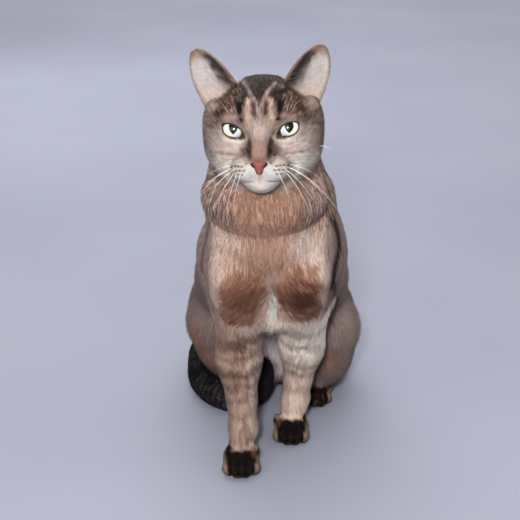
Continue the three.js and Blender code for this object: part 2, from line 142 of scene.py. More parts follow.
# ---- head
HEAD_TURN = turned((-13, -1.8, -3.8))
HEAD_PLACE = np.array((2.6, 0, 329.5))
EYE_RADIUS = 11.0


def in_head(mass):
    return placed(mass, HEAD_TURN, HEAD_PLACE)


def to_head(p):
    return (p - HEAD_PLACE) @ HEAD_TURN


def from_head(q):
    return np.asarray(q, float) @ HEAD_TURN.T + HEAD_PLACE


def eye_centre(side):
    return np.array((side * 22.0, -25.5, -0.9))


skull = blend(
    14,
    ellipsoid((0, 9, 5), (40, 43, 35)),
    *paired(lambda s: ellipsoid((s * 29, 0, -15), (21, 31, 25))),
    *paired(lambda s: ellipsoid((s * 31, 6, 6), (18.5, 27, 22))),
    ellipsoid((0, -16, 12), (29, 23, 22)),
    ellipsoid((0, -12, -30), (34, 34, 20)),
    ellipsoid((0, 2, 19), (33, 27, 18)),
)
cheeks = blend(
    8,
    *paired(lambda s: ellipsoid((s * 24, -27, -15), (15, 12, 10))),
    *paired(lambda s: ellipsoid((s * 20, -26, 12), (14, 10, 8))),
)
bridge = limb((0, -26, 2), (0, -57, -23.5), 11, 7.4)
muzzle = blend(
    6,
    ellipsoid((0, -38, -28), (22, 22, 16)),
    *paired(lambda s: ellipsoid((s * 11, -50, -31), (13, 13, 10.5))),
    ellipsoid((0, -45, -41), (13, 14, 9.5)),
)
EAR_HOLLOW = {s: ellipsoid((s * 33.5, 3, 36.5), (15.5, 22, 17), (4, s * 35, 0)) for s in (-1, 1)}
lids = paired(lambda s: ellipsoid(eye_centre(s), (EYE_RADIUS + 2.2, EYE_RADIUS + 1.4, EYE_RADIUS + 1.8)))
bare_head = carve(5, carve(5, blend(9, skull, cheeks, bridge, muzzle), EAR_HOLLOW[-1]), EAR_HOLLOW[1])
head_mass = in_head(blend(6, bare_head, *lids))
nose_local = blend(3, ellipsoid((0, -61.5, -25.5), (7, 5.4, 3.2)), ellipsoid((0, -62.5, -29.5), (3.2, 4, 4.2)))

# ---- neck, trunk and legs
neck_mass = blend(16, limb((6, 34, 258), (3, 14, 312), 57, 42), ellipsoid((3.5, -8, 270.2), (53.2, 40, 35.5)))
shoulders = [ellipsoid(place, (18.3, 42, 58), (20, 0, 0)) for place in ((-22, 34, 209), (51.5, 34, 216))]
trunk_mass = blend(
    22,
    ellipsoid((11, 42, 191), (69.5, 56, 73.5), (25, 0, 0)),
    ellipsoid((6, 4, 228), (44, 42, 44)),
    ellipsoid((8, 58, 222), (44, 32, 46), (20, 0, 0)),
    ellipsoid((10, 21, 147), (16, 24, 21)),
    ellipsoid((11.5, 98, 140), (77, 61, 90), (38, 0, 0)),
    ellipsoid((15, 158, 88), (66, 59, 70)),
    ellipsoid((15, 170, 46), (58, 49, 49)),
    ellipsoid((14, 118, 68), (50, 42, 56)),
)
torso = blend(16, trunk_mass, *shoulders)
# for each side: elbow, wrist, paw and the paw's turn
FORELEG = {
    -1: ((-21, 32, 140), (-15.5, -10, 34), (-17.8, -34, 0), 3),
    1: ((42, 38, 140), (35, 41, 34), (30.5, 19, 0), -3),
}
# for each side: hock, paw and the paw's turn
HINDLEG = {-1: ((-31, 184, 18), (-28, 117, 0), -2), 1: ((66, 178, 18), (58, 85.5, 0), 7)}
FOREPAW_WIDTH, HINDPAW_WIDTH = 36, 31
FEET = tuple(
    foot
    for s in (-1, 1)
    for foot in ((*FORELEG[s][2:], FOREPAW_WIDTH), (*HINDLEG[s][1:], HINDPAW_WIDTH))
)
TOES = (-1.5, -0.5, 0.5, 1.5)


def toe_pitch(width):
    return width / 4.9


def in_foot(p, place, turn):
    """Places in a foot's own frame: across it, back along it and upwards."""
    return (p - np.array(place, float)) @ turned((0, 0, turn))


def paw_mass(place, turn, width):
    pitch, thick = toe_pitch(width), width / 4.75
    toes = []
    for n in TOES:
        tip = (n * pitch, -8.5 if abs(n) < 1 else -4.5, 8.6)
        toes.append(limb((n * pitch * 0.8, 7, 14), tip, thick * 0.95, thick))
    heel = ellipsoid((0, 12, 10), (width * 0.46, 17, 11))
    pads = blend(6, heel, ellipsoid((0, 10, 8), (width * 0.42, 18, 9.5)))
    return placed(blend(2.2, pads, blend(2, *toes)), turned((0, 0, turn)), place)


def foreleg_mass(s):
    elbow, wrist, paw, turn = FORELEG[s]

    def part_way(share):
        return np.array(elbow) + (np.array(wrist) - np.array(elbow)) * share

    heel = turned((0, 0, turn)) @ np.array((0, 14, 15)) + np.array(paw)
    forearm = part_way(0.45) + np.array((s * 1.4, 0, 0))
    arm = blend(
        14,
        limb((8 + s * 27, -8, 196), (8 + s * 31, 30, 150), 26, 23),
        limb((8 + s * 27, -4, 176), part_way(0.35), 22, 17),
        limb(elbow, forearm, 22, 18.3),
        limb(forearm, wrist, 18.3, 13.7),
        limb(wrist, heel, 11, 11),
    )
    dewclaw = turned((0, 0, turn)) @ np.array((-s * 14, 8, 19)) + np.array(paw)
    foot = blend(4, paw_mass(paw, turn, FOREPAW_WIDTH), ellipsoid(dewclaw, (4, 5.5, 7)))
    return blend(5, arm, foot)


# two rounded masses of each thigh: places and radii
THIGH = {
    -1: ((-36.6, 138.5, 76), (40, 51, 63), (-49, 100.5, 88.5), (26.5, 29, 32)),
    1: ((65.8, 132.5, 65), (36, 57.5, 66), (75.3, 99, 83), (27, 29, 32)),
}


def thigh_mass(s):
    ham, ham_radii, knee, knee_radii = THIGH[s]
    shin = limb((15 + s * 55, 100, 58 if s < 0 else 53), (15 + s * 46, 112, 23 if s < 0 else 22), 22.5, 14.5)
    return blend(14, ellipsoid(ham, ham_radii, (6, 0, 0)), ellipsoid(knee, knee_radii), shin)


def hindfoot_mass(s):
    hock, paw, turn = HINDLEG[s]
    sole = limb(hock, (paw[0], paw[1] + 14, 14), 16, 13.5)
    return blend(8, sole, paw_mass(paw, turn, HINDPAW_WIDTH))


# ---- tail
TAIL_POINTS = np.array(
    [
        (14, 192, 36), (6, 217, 26), (-20, 225, 16), (-46, 208, 14.5), (-61, 175, 14.5), (-63, 140, 14.4),
        (-59.5, 109, 14.2), (-45, 84, 14), (-23, 73, 14), (-5, 76, 20), (0, 80.5, 35), (-2, 85, 54),
    ],
    float,
)  # fmt: skip


def smooth_path(points, count):
    """A centripetal curve through the points, at equal lengths."""
    ends = np.vstack([2 * points[0] - points[1], points, 2 * points[-1] - points[-2]])
    fine = []
    for a, b, c, d in zip(ends, ends[1:], ends[2:], ends[3:]):
        t0, t1, t2 = (math.sqrt(np.linalg.norm(v)) for v in (b - a, c - b, d - c))
        m1 = ((b - a) / t0 - (c - a) / (t0 + t1) + (c - b) / t1) * t1
        m2 = ((c - b) / t1 - (d - b) / (t1 + t2) + (d - c) / t2) * t1
        s = np.linspace(0, 1, 24, endpoint=False)[:, None]
        fine.append(b + m1 * s + (3 * (c - b) - 2 * m1 - m2) * s**2 + (2 * (b - c) + m1 + m2) * s**3)
    fine = np.vstack(fine + [points[-1:]])
    gone = np.concatenate([[0], np.cumsum(length_of(np.diff(fine, axis=0)))])
    at = np.linspace(0, gone[-1], count)
    return np.column_stack([np.interp(at, gone, fine[:, k]) for k in range(3)])


TAIL_SPINE = smooth_path(TAIL_POINTS, 121)


def tail_radius(share):
    taper = 17 + (14 - 17) * share
    to_tip = (1 - share) / 0.045
    return np.where(to_tip < 1, taper * np.sqrt(np.maximum(1 - (1 - np.minimum(to_tip, 1)) ** 2, 0.02)), taper)


def near_tail(p, spine=TAIL_SPINE):
    """How far each point lies outside the tail, and its share of the way along it."""
    shares = np.linspace(0, 1, len(spine))
    radii = tail_radius(shares)
    best, share = np.full(len(p), 1e9), np.zeros(len(p))
    for point, radius, at in zip(spine, radii, shares):
        far = length_of(p - point) - radius
        closer = far < best
        best[closer], share[closer] = far[closer], at
    return best, share


def tail_room(p):
    return np.maximum(near_tail(p, TAIL_SPINE[::2])[0] - 2, 40 - length_of(p - TAIL_SPINE[0]))


def ramp(low, high, x):
    """Rises smoothly from 0 where x is low to 1 where it is high, or falls where high is the lesser."""
    t = np.clip((x - low) / (high - low), 0, 1)
    return t * t * (3 - 2 * t)


upper = blend(10, head_mass, neck_mass)
fore = blend(12, upper, blend(12, torso, *paired(foreleg_mass)))
hind = carve(6, blend(12, upper, blend(14, torso, *paired(thigh_mass), *paired(hindfoot_mass))), tail_room)


def outline(p):
    """The body out to the tips of its coat, without ears and tail."""
    share = ramp(58, 66, p[:, 1])
    front, back = share < 1, share > 0
    a, b = np.zeros(len(p)), np.zeros(len(p))
    a[front], b[back] = fore(p[front]), hind(p[back])
    return a * (1 - share) + b * share


def above_nape(p):
    """How far a point lies above the slanting plane where the head meets the neck."""
    tilt = math.radians(24)
    return (p - np.array((4, 0, 305))) @ np.array((0, -math.sin(tilt), math.cos(tilt)))


def wave(p, size, seed):
    """A smooth wavering of a point's place, from -1 to 1, with waves about size across."""
    rng = np.random.default_rng(seed)
    total = np.zeros(len(p))
    for _ in range(5):
        way = rng.normal(size=3)
        way *= 2 * math.pi / (size * rng.uniform(0.7, 1.6)) / np.linalg.norm(way)
        total += np.sin(p @ way + rng.uniform(0, 6.3))
    return total / 3.2


# ---------------------------------------------------------------- the face's finer shapes

EYE_TURN = math.radians(4)
# inner corner, two guides of the upper lid, outer corner and two guides of the lower lid
ALMOND = ((-9.4, -5.8), (-8.0, 2.7), (-1.7, 7.9), (9.0, 5.6), (10.4, -1.5), (4.9, -7.1))


def almond_outline(count=40, grow=0.0):
    """The opening between the lids, outwards and upwards from the eye's centre, from the inner corner round."""
    inner, up_a, up_b, outer, low_a, low_b = (np.array(v, float) for v in ALMOND)
    s = np.linspace(0, 1, count, endpoint=False)[:, None]

    def arc(a, b, c, d):
        return a * (1 - s) ** 3 + 3 * b * s * (1 - s) ** 2 + 3 * c * s**2 * (1 - s) + d * s**3

    ring = np.vstack([arc(inner, up_a, up_b, outer), arc(outer, low_a, low_b, inner)])
    middle = (inner + outer) / 2
    away = ring - middle
    return middle + away * (1 + grow / np.linalg.norm(away, axis=1, keepdims=True))


def eye_axes(side):
    """Outwards, upwards and forwards for an eye, in the head's frame."""
    out = np.array((side * math.cos(EYE_TURN), math.sin(EYE_TURN), 0))
    ahead = np.array((side * math.sin(EYE_TURN), -math.cos(EYE_TURN), 0))
    return out, np.array((0, 0, 1.0)), ahead


def almond_distance(u, v):
    """How far a place lies outside the opening between the lids."""
    ring = almond_outline(14)
    after = np.roll(ring, -1, axis=0)
    nearest = np.full(len(u), 1e9)
    inside = np.zeros(len(u), bool)
    for (ax, ay), (bx, by) in zip(ring, after):
        ex, ey = bx - ax, by - ay
        t = np.clip(((u - ax) * ex + (v - ay) * ey) / (ex * ex + ey * ey), 0, 1)
        nearest = np.minimum(nearest, np.hypot(u - ax - t * ex, v - ay - t * ey))
        crosses = (ay > v) != (by > v)
        inside ^= crosses & (u < (bx - ax) * (v - ay) / (by - ay + 1e-12) + ax)
    return np.where(inside, -nearest, nearest)


MOUTH = (
    (0, -60.5, -38.2), (5, -59.5, -39.6), (9, -57.5, -40.2), (14, -52, -40.6), (19, -43, -40), (22, -34, -38.5),
)  # fmt: skip
PHILTRUM = ((0, -66, -32), (0, -62, -38.2))
CHEEK_FOLD = ((16, -48, -18), (22, -42, -22), (27, -35, -28), (28, -28, -36))


def crease(points, radius):
    pieces = [limb(a, b, radius, radius) for a, b in zip(points, points[1:])]
    return blend(0.6, *pieces) if len(pieces) > 1 else pieces[0]


def mirrored(points, side):
    return [(side * x, y, z) for x, y, z in points]


def face_mass(q, depth):
    """The skin of the head in its own frame, with lids, lips and folds. depth is the coat's depth there."""
    value = bare_head(q) + depth
    for side in (-1, 1):
        centre = eye_centre(side)
        lid = ellipsoid(centre, (EYE_RADIUS + 1.7, EYE_RADIUS + 1.3, EYE_RADIUS + 1.5))
        value = soft_min(value, lid(q), 4.5)
    for side in (-1, 1):
        # a brow above the eye and a shallow trough from its inner corner down beside the nose
        value = soft_min(value, limb((side * 14, -36, 10.5), (side * 30, -25, 12), 2.6, 2.0)(q), 6)
        trough = crease(mirrored(((11.5, -42, -7), (9.5, -51, -15), (9, -59, -23)), side), 2.0)
        value = -soft_min(-value, trough(q) + 0.4, 3)
        value = -soft_min(-value, crease(mirrored(MOUTH, side), 0.4)(q), 1.6)
        value = -soft_min(-value, crease(mirrored(CHEEK_FOLD, side), 2.2)(q) + 1.2, 5)
    value = -soft_min(-value, crease(PHILTRUM, 0.9)(q), 1.2)
    value = -soft_min(-value, nose_local(q) + 0.5, 0.8)
    for side in (-1, 1):
        centre = eye_centre(side)
        out, up, ahead = eye_axes(side)
        rel = q - centre
        near = length_of(rel) < 19
        r = rel[near]
        ball = length_of(r)
        opening = np.maximum(almond_distance(r @ out, r @ up) + 0.1, EYE_RADIUS - 0.7 - ball)
        opening = np.maximum(opening, -(r @ ahead))
        part = value[near]
        value[near] = -soft_min(-part, opening, 0.8)
    return value


# ---------------------------------------------------------------- ears


def ear_half_width(v):
    return 16.5 * (1 - v**2.6) ** 0.6 + 1.2


class Ear:
    """A scoop that opens forwards and outwards. v runs from its root to its tip, u across it."""

    height = 49

    def __init__(self, side):
        self.root, self.tip = np.array((side * 30 - 1.2, 8, 20)), np.array((side * 52 - 1.8, 2, 65))
        self.axis = (self.tip - self.root) / np.linalg.norm(self.tip - self.root)
        facing = np.array((side * 0.42, -0.9, 0.1))
        facing -= self.axis * (facing @ self.axis)
        self.facing = facing / np.linalg.norm(facing)
        self.across = np.cross(self.axis, self.facing)
        self.medial = -np.sign(self.across[0] * side)

    def wall(self, u, v):
        """The middle of the wall at u and v from 0 to 1, and the solid's wall thickness there."""
        bend = np.radians(95 + (42 - 95) * v)
        radius = ear_half_width(np.clip(v, 0, 1)) / np.sin(np.minimum(bend, math.pi / 2))
        angle = -bend + 2 * bend * u
        thick = 2.2 * (0.35 + 0.65 * (1 - np.abs(2 * u - 1) ** 6)) * (1 - 0.4 * v)
        middle = radius + thick / 2
        across = middle * np.sin(angle)
        ahead = radius * np.cos(bend) * 0.6 - (radius * 0.6 + thick / 2) * np.cos(angle) + 4
        place = (
            self.root
            + (v * self.height)[:, None] * self.axis
            + across[:, None] * self.across
            + ahead[:, None] * self.facing
        )
        return place, thick

    def shares(self, q):
        """Where points of the head's frame lie on the ear: along it, across it and in front of it."""
        rel = q - self.root
        return rel @ self.axis / self.height, rel @ self.across, rel @ self.facing

    def edge(self, v, across):
        """How far towards the medial edge a place lies on the ear, from -1 to 1."""
        return across * self.medial / ear_half_width(np.clip(v, 0, 0.995))


EAR = {side: Ear(side) for _, side in SIDES}

# ---------------------------------------------------------------- helpers for objects


def shift_from_eyes():
    """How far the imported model's frame is moved from the cat's own frame."""
    middle = np.zeros(3)
    for name, side in SIDES:
        low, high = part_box("eye_" + name)
        middle += (np.array(low) + np.array(high)) / 2 / MM - from_head([eye_centre(side)])[0]
    return middle / 2


SHIFT = shift_from_eyes() * np.array((1, 1, 0))


def to_world(p):
    return (np.asarray(p, float) + SHIFT) * MM


def to_cat(w):
    return np.asarray(w, float) / MM - SHIFT


def clear_selection():
    if bpy.context.object and bpy.context.object.mode != "OBJECT":
        bpy.ops.object.mode_set(mode="OBJECT")
    bpy.ops.object.select_all(action="DESELECT")


def choose(*objects):
    clear_selection()
    for o in objects:
        o.select_set(True)
    bpy.context.view_layer.objects.active = objects[0]


def apply_modifier(o, kind, **settings):
    choose(o)
    modifier = o.modifiers.new(kind.lower(), kind)
    for key, value in settings.items():
        setattr(modifier, key, value)
    bpy.ops.object.modifier_apply(modifier=modifier.name)


@contextmanager
def editing(o):
    """Edit mode on one object, with all of it selected."""
    choose(o)
    bpy.ops.object.mode_set(mode="EDIT")
    bpy.ops.mesh.select_all(action="SELECT")
    yield
    bpy.ops.object.mode_set(mode="OBJECT")


def face_outwards(o):
    with editing(o):
        bpy.ops.mesh.normals_make_consistent(inside=False)


def values_of(items, key, per=1, kind=np.float32):
    """One property of all items of a mesh, as an array."""
    values = np.empty(len(items) * per, kind)
    items.foreach_get(key, values)
    return values.reshape(-1, per) if per > 1 else values


def points_of(mesh):
    return values_of(mesh.vertices, "co", 3).astype(float)


def set_points(mesh, w):
    mesh.vertices.foreach_set("co", np.ascontiguousarray(w, np.float32).ravel())
    mesh.update()


def settle(p, field, turns, reach):
    """Moves points down a field's slope onto its zero surface, by no more than reach in all."""
    start, probe = p.copy(), 0.4
    for _ in range(turns):
        here = field(p)
        slope = np.column_stack([field(p + probe * axis) - here for axis in np.eye(3)]) / probe
        p = p - slope * (here / np.maximum((slope**2).sum(1), 0.15))[:, None]
        moved = p - start
        far = length_of(moved)
        p = start + moved * np.minimum(1, reach / np.maximum(far, 1e-9))[:, None]
    return p


def mesh_object(name, w, faces):
    """A mesh object from an array of places in metres and one of triangles."""
    mesh = bpy.data.meshes.new(name)
    mesh.vertices.add(len(w))
    mesh.vertices.foreach_set("co", np.ascontiguousarray(w, np.float32).ravel())
    mesh.loops.add(faces.size)
    mesh.loops.foreach_set("vertex_index", np.ascontiguousarray(faces, np.int32).ravel())
    mesh.polygons.add(len(faces))
    mesh.polygons.foreach_set("loop_start", np.arange(0, faces.size, 3, dtype=np.int32))
    mesh.polygons.foreach_set("use_smooth", np.ones(len(faces), bool))
    mesh.update(calc_edges=True)
    o = bpy.data.objects.new(name, mesh)
    bpy.context.scene.collection.objects.link(o)
    return o


def threads(name, paths, sides):
    """Tapered threads through paths as one mesh. A path has places and radii in mm, and may be closed."""
    data = bpy.data.curves.new(name, "CURVE")
    data.dimensions = "3D"
    data.bevel_depth = 1.0
    data.bevel_resolution = max(0, sides // 2 - 2)
    data.use_fill_caps = True
    for places, radii, closed in paths:
        spline = data.splines.new("POLY")
        spline.points.add(len(places) - 1)
        spline.use_cyclic_u = closed
        for point, place, radius in zip(spline.points, to_world(places), radii):
            point.co = (*place, 1)
            point.radius = radius * MM
    o = bpy.data.objects.new(name, data)
    bpy.context.scene.collection.objects.link(o)
    choose(o)
    bpy.ops.object.convert(target="MESH")
    o = bpy.context.object
    o.name = name
    with editing(o):
        bpy.ops.mesh.remove_doubles(threshold=1e-7)
        bpy.ops.mesh.normals_make_consistent(inside=False)
    bpy.ops.object.shade_smooth()
    return o


def finished(o, slot, *nodes):
    """Sets a piece on the cat's one body and hides the nodes that it stands for. The slot is not used."""
    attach(o, "root")
    if nodes:
        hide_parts(*nodes)


def linear(rgb):
    """Colours given from 0 to 255 as seen on a screen, as amounts of light."""
    c = np.asarray(rgb, float) / 255
    return np.where(c <= 0.04045, c / 12.92, ((c + 0.055) / 1.055) ** 2.4)


# ---------------------------------------------------------------- the coat's markings

# Two of these colours carry painted light: the palest cream, for the jaws, the chin and the top of the left
# foreleg, and the belly's colour, which is partly its own pale hair. Both are paler than the hair itself, to
# stand against the shade where these surfaces turn away from the lights.
HAIR_RGB = dict(
    taupe=(146, 124, 114), grey=(130, 113, 108), shoulder=(162, 141, 136), haunch=(122, 103, 97),
    cinnamon=(162, 124, 105), ruff_side=(138, 115, 106), ruff=(158, 120, 101), fold=(148, 106, 88),
    beige=(190, 160, 144), pale_chest=(210, 188, 174), chocolate=(96, 62, 50), rust=(150, 106, 84),
    umber=(56, 38, 32), cream=(226, 208, 192), white=(218, 213, 206), black=(16, 12, 12),
    paw=(17, 12, 11), toe=(176, 148, 130), tail=(20, 18, 21), ring=(82, 75, 73), leg=(172, 144, 128),
    pale_leg=(248, 216, 197), leg_edge=(138, 120, 114), bar=(98, 68, 56), belly=(242, 226, 223),
    crown=(32, 24, 22), temple=(76, 51, 42), mauve=(166, 146, 142), brow=(111, 85, 77), tan=(184, 158, 140),
    bridge=(162, 130, 116), bridge_top=(184, 166, 155), under_eye=(184, 170, 164), cheek=(190, 168, 158),
    side=(128, 110, 106), pale_with_painted_light=(252, 234, 220), pad=(214, 200, 190), lip=(198, 158, 150),
    dot=(62, 44, 40), peach=(210, 186, 173), ear_rim=(160, 128, 110), ear_inside=(196, 186, 181),
    ear_dark=(36, 18, 9), ear_back=(118, 96, 86), tick=(206, 182, 160), crown_tick=(196, 162, 138),
)  # fmt: skip
HAIR = {name: linear(rgb) for name, rgb in HAIR_RGB.items()}
DARKEST, PALEST = 0.002, 0.95


def spot(p, centre, radii, soft=0.5):
    """1 inside an ellipsoid and 0 outside it, with a soft edge."""
    far = length_of((p - np.array(centre, float)) / np.array(radii, float))
    return 1 - ramp(1 - soft, 1 + soft, far)


def stroke(p, points, radius, soft=0.6):
    """1 along a line through points, fading at radius."""
    far = crease(points, 0)(p)
    return 1 - ramp(radius * (1 - soft), radius * (1 + soft), far)


class Paint:
    """The hair's colour at some places, painted over in turn with the named colours."""

    def __init__(self, places, ground):
        self.places = places
        self.colour = np.repeat(HAIR[ground][None], len(places), 0)

    def over(self, name, amount):
        self.colour = self.colour + (HAIR[name] - self.colour) * np.clip(amount, 0, 1)[:, None]

    def lighten(self, share):
        self.colour = self.colour * (1 + share)[:, None]

    def spot(self, name, centre, radii, soft, amount=1.0):
        self.over(name, spot(self.places, centre, radii, soft) * amount)

    def line(self, name, points, radius, soft, amount=1.0):
        self.over(name, stroke(self.places, points, radius, soft) * amount)

    def lines(self, rows):
        for row in rows:
            self.line(*row)


FOLD_LINE = (
    (-50, 8, 254), (-46, 1, 249.5), (-39, -13, 241), (-21, -28.5, 236.6), (2, -37, 238.6),
    (25, -33, 237.6), (47, -17, 241), (61, 2, 247), (66, 10, 251),
)  # fmt: skip
# painted shadow: a dark line down the left shoulder and on along the flank, where the shoulder and foreleg
# shade the body behind them
LEFT_SHOULDER_SHADOW = (
    (63, 2, 246), (66.2, 6, 238.7), (69.3, 9, 227.8), (71, 10, 217.7), (70.2, 6.5, 209), (68.5, 3.6, 201),
    (67.3, 2, 191.7), (66.8, 3.2, 182), (72, 36, 154), (75.5, 64.5, 130.4), (74.5, 73, 115), (71.5, 72, 101),
)  # fmt: skip
# lines of colour: name, places, radius, softness and amount
PALE_CHEST_LINES = (
    ("pale_chest", ((-40, -11, 236), (-42, -13, 215), (-42, -19, 194), (-40, -19, 170)), 12.0, 0.9, 0.55),
    (
        "pale_chest",
        ((40, -24, 232), (45, -20, 222), (50, -22, 210), (54, -24, 190), (54, -10, 150)),
        12.0, 0.9, 0.95,
    ),
)  # fmt: skip
CHEST_LINES = (
    ("mauve", ((62, -6, 234), (61, -8, 218), (60, -10, 200)), 6, 0.8, 0.6),
    ("mauve", ((-50, 14, 225), (-52, 16, 190)), 8, 0.8, 0.3),
    ("fold", FOLD_LINE, 3.6, 0.8, 0.25),
    ("pale_chest", ((-40, -14, 233), (-28, -26, 231), (-16, -33, 231)), 2.4, 0.8, 0.3),
)
# a dark line down the left shoulder, which is painted shadow where the shoulder meets the body behind it, the
# warm lower edges of the haunches, and a faint line on the right
SIDE_LINES = (
    ("paw", LEFT_SHOULDER_SHADOW[:8], 4.8, 0.8, 0.9),
    ("paw", ((66.8, 3, 182), (61, -8, 178)), 3.0, 0.7, 0.85),
    ("crown", LEFT_SHOULDER_SHADOW[7:], 8.0, 0.9, 0.3),
    ("crown", LEFT_SHOULDER_SHADOW[7:], 3.2, 0.8, 0.6),
    ("fold", ((-66, 80, 84), (-60, 79, 66), (-50, 86, 52)), 10, 0.8, 0.7),
    ("fold", ((70, 74, 64), (62, 76, 50), (74, 86, 50)), 10, 0.8, 0.7),
    ("crown", ((-48, 11, 234), (-51, 16, 210), (-54, 21, 185)), 3.6, 0.8, 0.5),
)
# the dark patches on the points of the shoulders: side, middle, top, lower end and outer end, then the
# amounts of chocolate inside, of the core and of the lower corner
PATCHES = (
    (-1, (-14.5, -28, 180), (-13.5, -32, 200), (-17, -17, 157), (-27, -18, 158), 0.6, 0.15, 0.1),
    (1, (34.5, -28, 182), (37, -31, 201), (42, -16, 160), (51, -20, 165), 0.95, 0.75, 0.5),
)
PATCH_BARS = ((17, 2), (6, -3), (-5, 3), (-15, -2))
PALE_FRINGE = (
    ((-4, -4, 139), (11, 16, 7)), ((-22, -12, 139), (12, 16, 5)), ((24, -2, 134), (9, 16, 7)),
    ((40, -4, 138), (12, 16, 6)),
)  # fmt: skip


def paint_ruff_and_chest(hair, front, wob, fine):
    """The throat and ruff above the fold line, and the chest below it."""
    x, y, z = hair.places.T
    on_front = ramp(0.0, 0.5, front) * ramp(36, 14, y)
    above_fold = ramp(236, 244, z + 2 * fine - 0.006 * (x - 6) ** 2)
    hair.over("ruff_side", above_fold * ramp(66, 30, y) * 0.9)
    hair.over("ruff", above_fold * ramp(44, 22, np.abs(x - 5) + 4 * wob) * ramp(40, 12, y))
    hair.lighten(0.5 * ramp(36, 46, x) * ramp(0, -15, y) * ramp(256, 266, z))
    # painted light: the ruff's lower edge on the front is lightened against the shade of the fold beneath it
    hair.lighten(0.4 * (ramp(238, 242, z) * ramp(256, 247, z) * on_front * ramp(44, 30, np.abs(x - 6))))
    hair.over("beige", on_front * (1 - above_fold) * ramp(56, 44, np.abs(x - 8)))
    hair.over("cinnamon", spot(hair.places, (5, -36, 221), (25, 30, 19), 0.5) * (1 - above_fold) * 0.9)
    hair.lines(PALE_CHEST_LINES)
    hair.lighten(-0.12 * above_fold * ramp(16, 34, x) * ramp(52, 42, x) * ramp(40, 12, y))
    hair.lines(CHEST_LINES)


def paint_patches(hair, front, wob, fine, places):
    """The ragged dark patches, the white streak between them and the pale fringe below."""
    x, y, z = hair.places.T
    ragged = (clumps(places, 1.6, 91) - 0.5) * 7 + (clumps(places, 4, 95) - 0.5) * 6
    q = hair.places + np.column_stack([3 * wob + 0.5 * ragged, 0 * x, 4 * fine + ragged])
    for side, middle, top, low, outer, inside, core, corner in PATCHES:
        patch = np.maximum(spot(q, middle, (22, 40, 27), 0.25), spot(q, top, (16, 40, 12), 0.35))
        patch = np.maximum(patch, spot(q, low, (17, 40, 12), 0.35))
        hair.over("rust", patch * 0.95)
        hair.over("chocolate", patch * spot(q, (middle[0] - 2 * side, -28, 181), (17, 40, 19), 0.5) * inside)
        dark = spot(q, (middle[0] + 2 * side, -28, 180), (9, 40, 13), 0.8) * core
        hair.over("umber", np.maximum(dark, stroke(q, (low, outer), 5.5, 0.7) * corner))
        for rise, lean in PATCH_BARS:
            bar = [(middle[0] + along, -28, middle[2] + rise + lean * along / 11) for along in (-11, 0, 11)]
            hair.over("umber", stroke(q, bar, 2.0, 0.8) * 0.4)
    hair.over("umber", stroke(q, ((-30, -18, 160), (-16, -14, 152)), 4.5, 0.7) * 0.6)
    streak = 0.98 * ramp(4.8, 2.2, np.abs(x - 11.2 - 0.02 * (z - 160) + 1.2 * fine) + 0.12 * np.abs(ragged))
    streak *= ramp(184, 172, z) * ramp(96, 112, z) * ramp(52, 40, y) * front
    hair.over("white", streak)
    for place, radii in PALE_FRINGE:
        hair.over("cream", spot(q, place, radii, 0.6) * 0.75)


def body_markings(p, normal):
    """The trunk, the neck, the chest and the haunches."""
    x, y, z = p.T
    wob, fine = wave(p, 22, 5), wave(p, 7, 6)
    front = np.clip(-normal[:, 1], 0, 1)
    places = streak_places(p)
    hair = Paint(p, "taupe")
    hair.over("grey", ramp(15, 60, y) * 0.8)
    hair.over("shoulder", ramp(8, 34, y) * ramp(130, 170, z) * 0.75)
    hair.over("haunch", ramp(88, 116, y) * 0.8)
    hair.lighten(0.18 * ramp(30, 60, x) * ramp(60, 80, y))
    hair.lighten(0.2 * ramp(-36, -48, x) * ramp(60, 40, y) * ramp(176, 166, z))
    # a darker back, and faint broken bands on the flanks and haunches
    hair.over("bar", ramp(0.2, 0.9, normal[:, 1]) * ramp(55, 10, np.abs(x - 12)) * 0.5)
    band = ramp(0.35, 0.95, np.sin((y * 0.55 + z * 0.35 + 9 * wob) / 7.5))
    hair.over("bar", band * ramp(60, 100, y) * ramp(190, 150, z) * 0.28)
    paint_ruff_and_chest(hair, front, wob, fine)
    # painted shade: dark mottles along the inner side of the left shoulder's shadow line
    shaded = stroke(p + (5, 0, 0), LEFT_SHOULDER_SHADOW[:7], 7, 0.6) * ramp(0.3, 0.6, clumps(places, 2.0, 97))
    hair.over("umber", shaded * 0.45)
    hair.lines(SIDE_LINES)
    paint_patches(hair, front, wob, fine, places)
    # the belly between and behind the forelegs, pale partly as its own colour and partly as painted light
    # against the shade of its downward slope
    low_belly = ramp(14, 34, y) * ramp(136, 118, z) * ramp(40, 28, np.abs(x - 12))
    low_belly *= ramp(-0.2, 0.4, -normal[:, 1])
    hair.over("belly", low_belly * 0.9)
    # painted shadow: the belly goes dark near the floor, in the shade between the legs
    hair.over("umber", low_belly * ramp(40, 26, z) * 0.8)
    return hair


# height of each bar on a foreleg above its wrist, its thickness and its strength
LEG_BARS = {
    -1: ((122, 6.0, 0.75), (106, 3.4, 0.6), (90, 3.8, 0.75), (76, 2.8, 0.6), (66, 2.4, 0.6), (52, 2.4, 0.35)),
    1: ((125, 5.0, 0.4), (104, 3.2, 0.45), (82, 3.6, 0.5), (70, 3.0, 0.5), (54, 2.4, 0.35)),
}


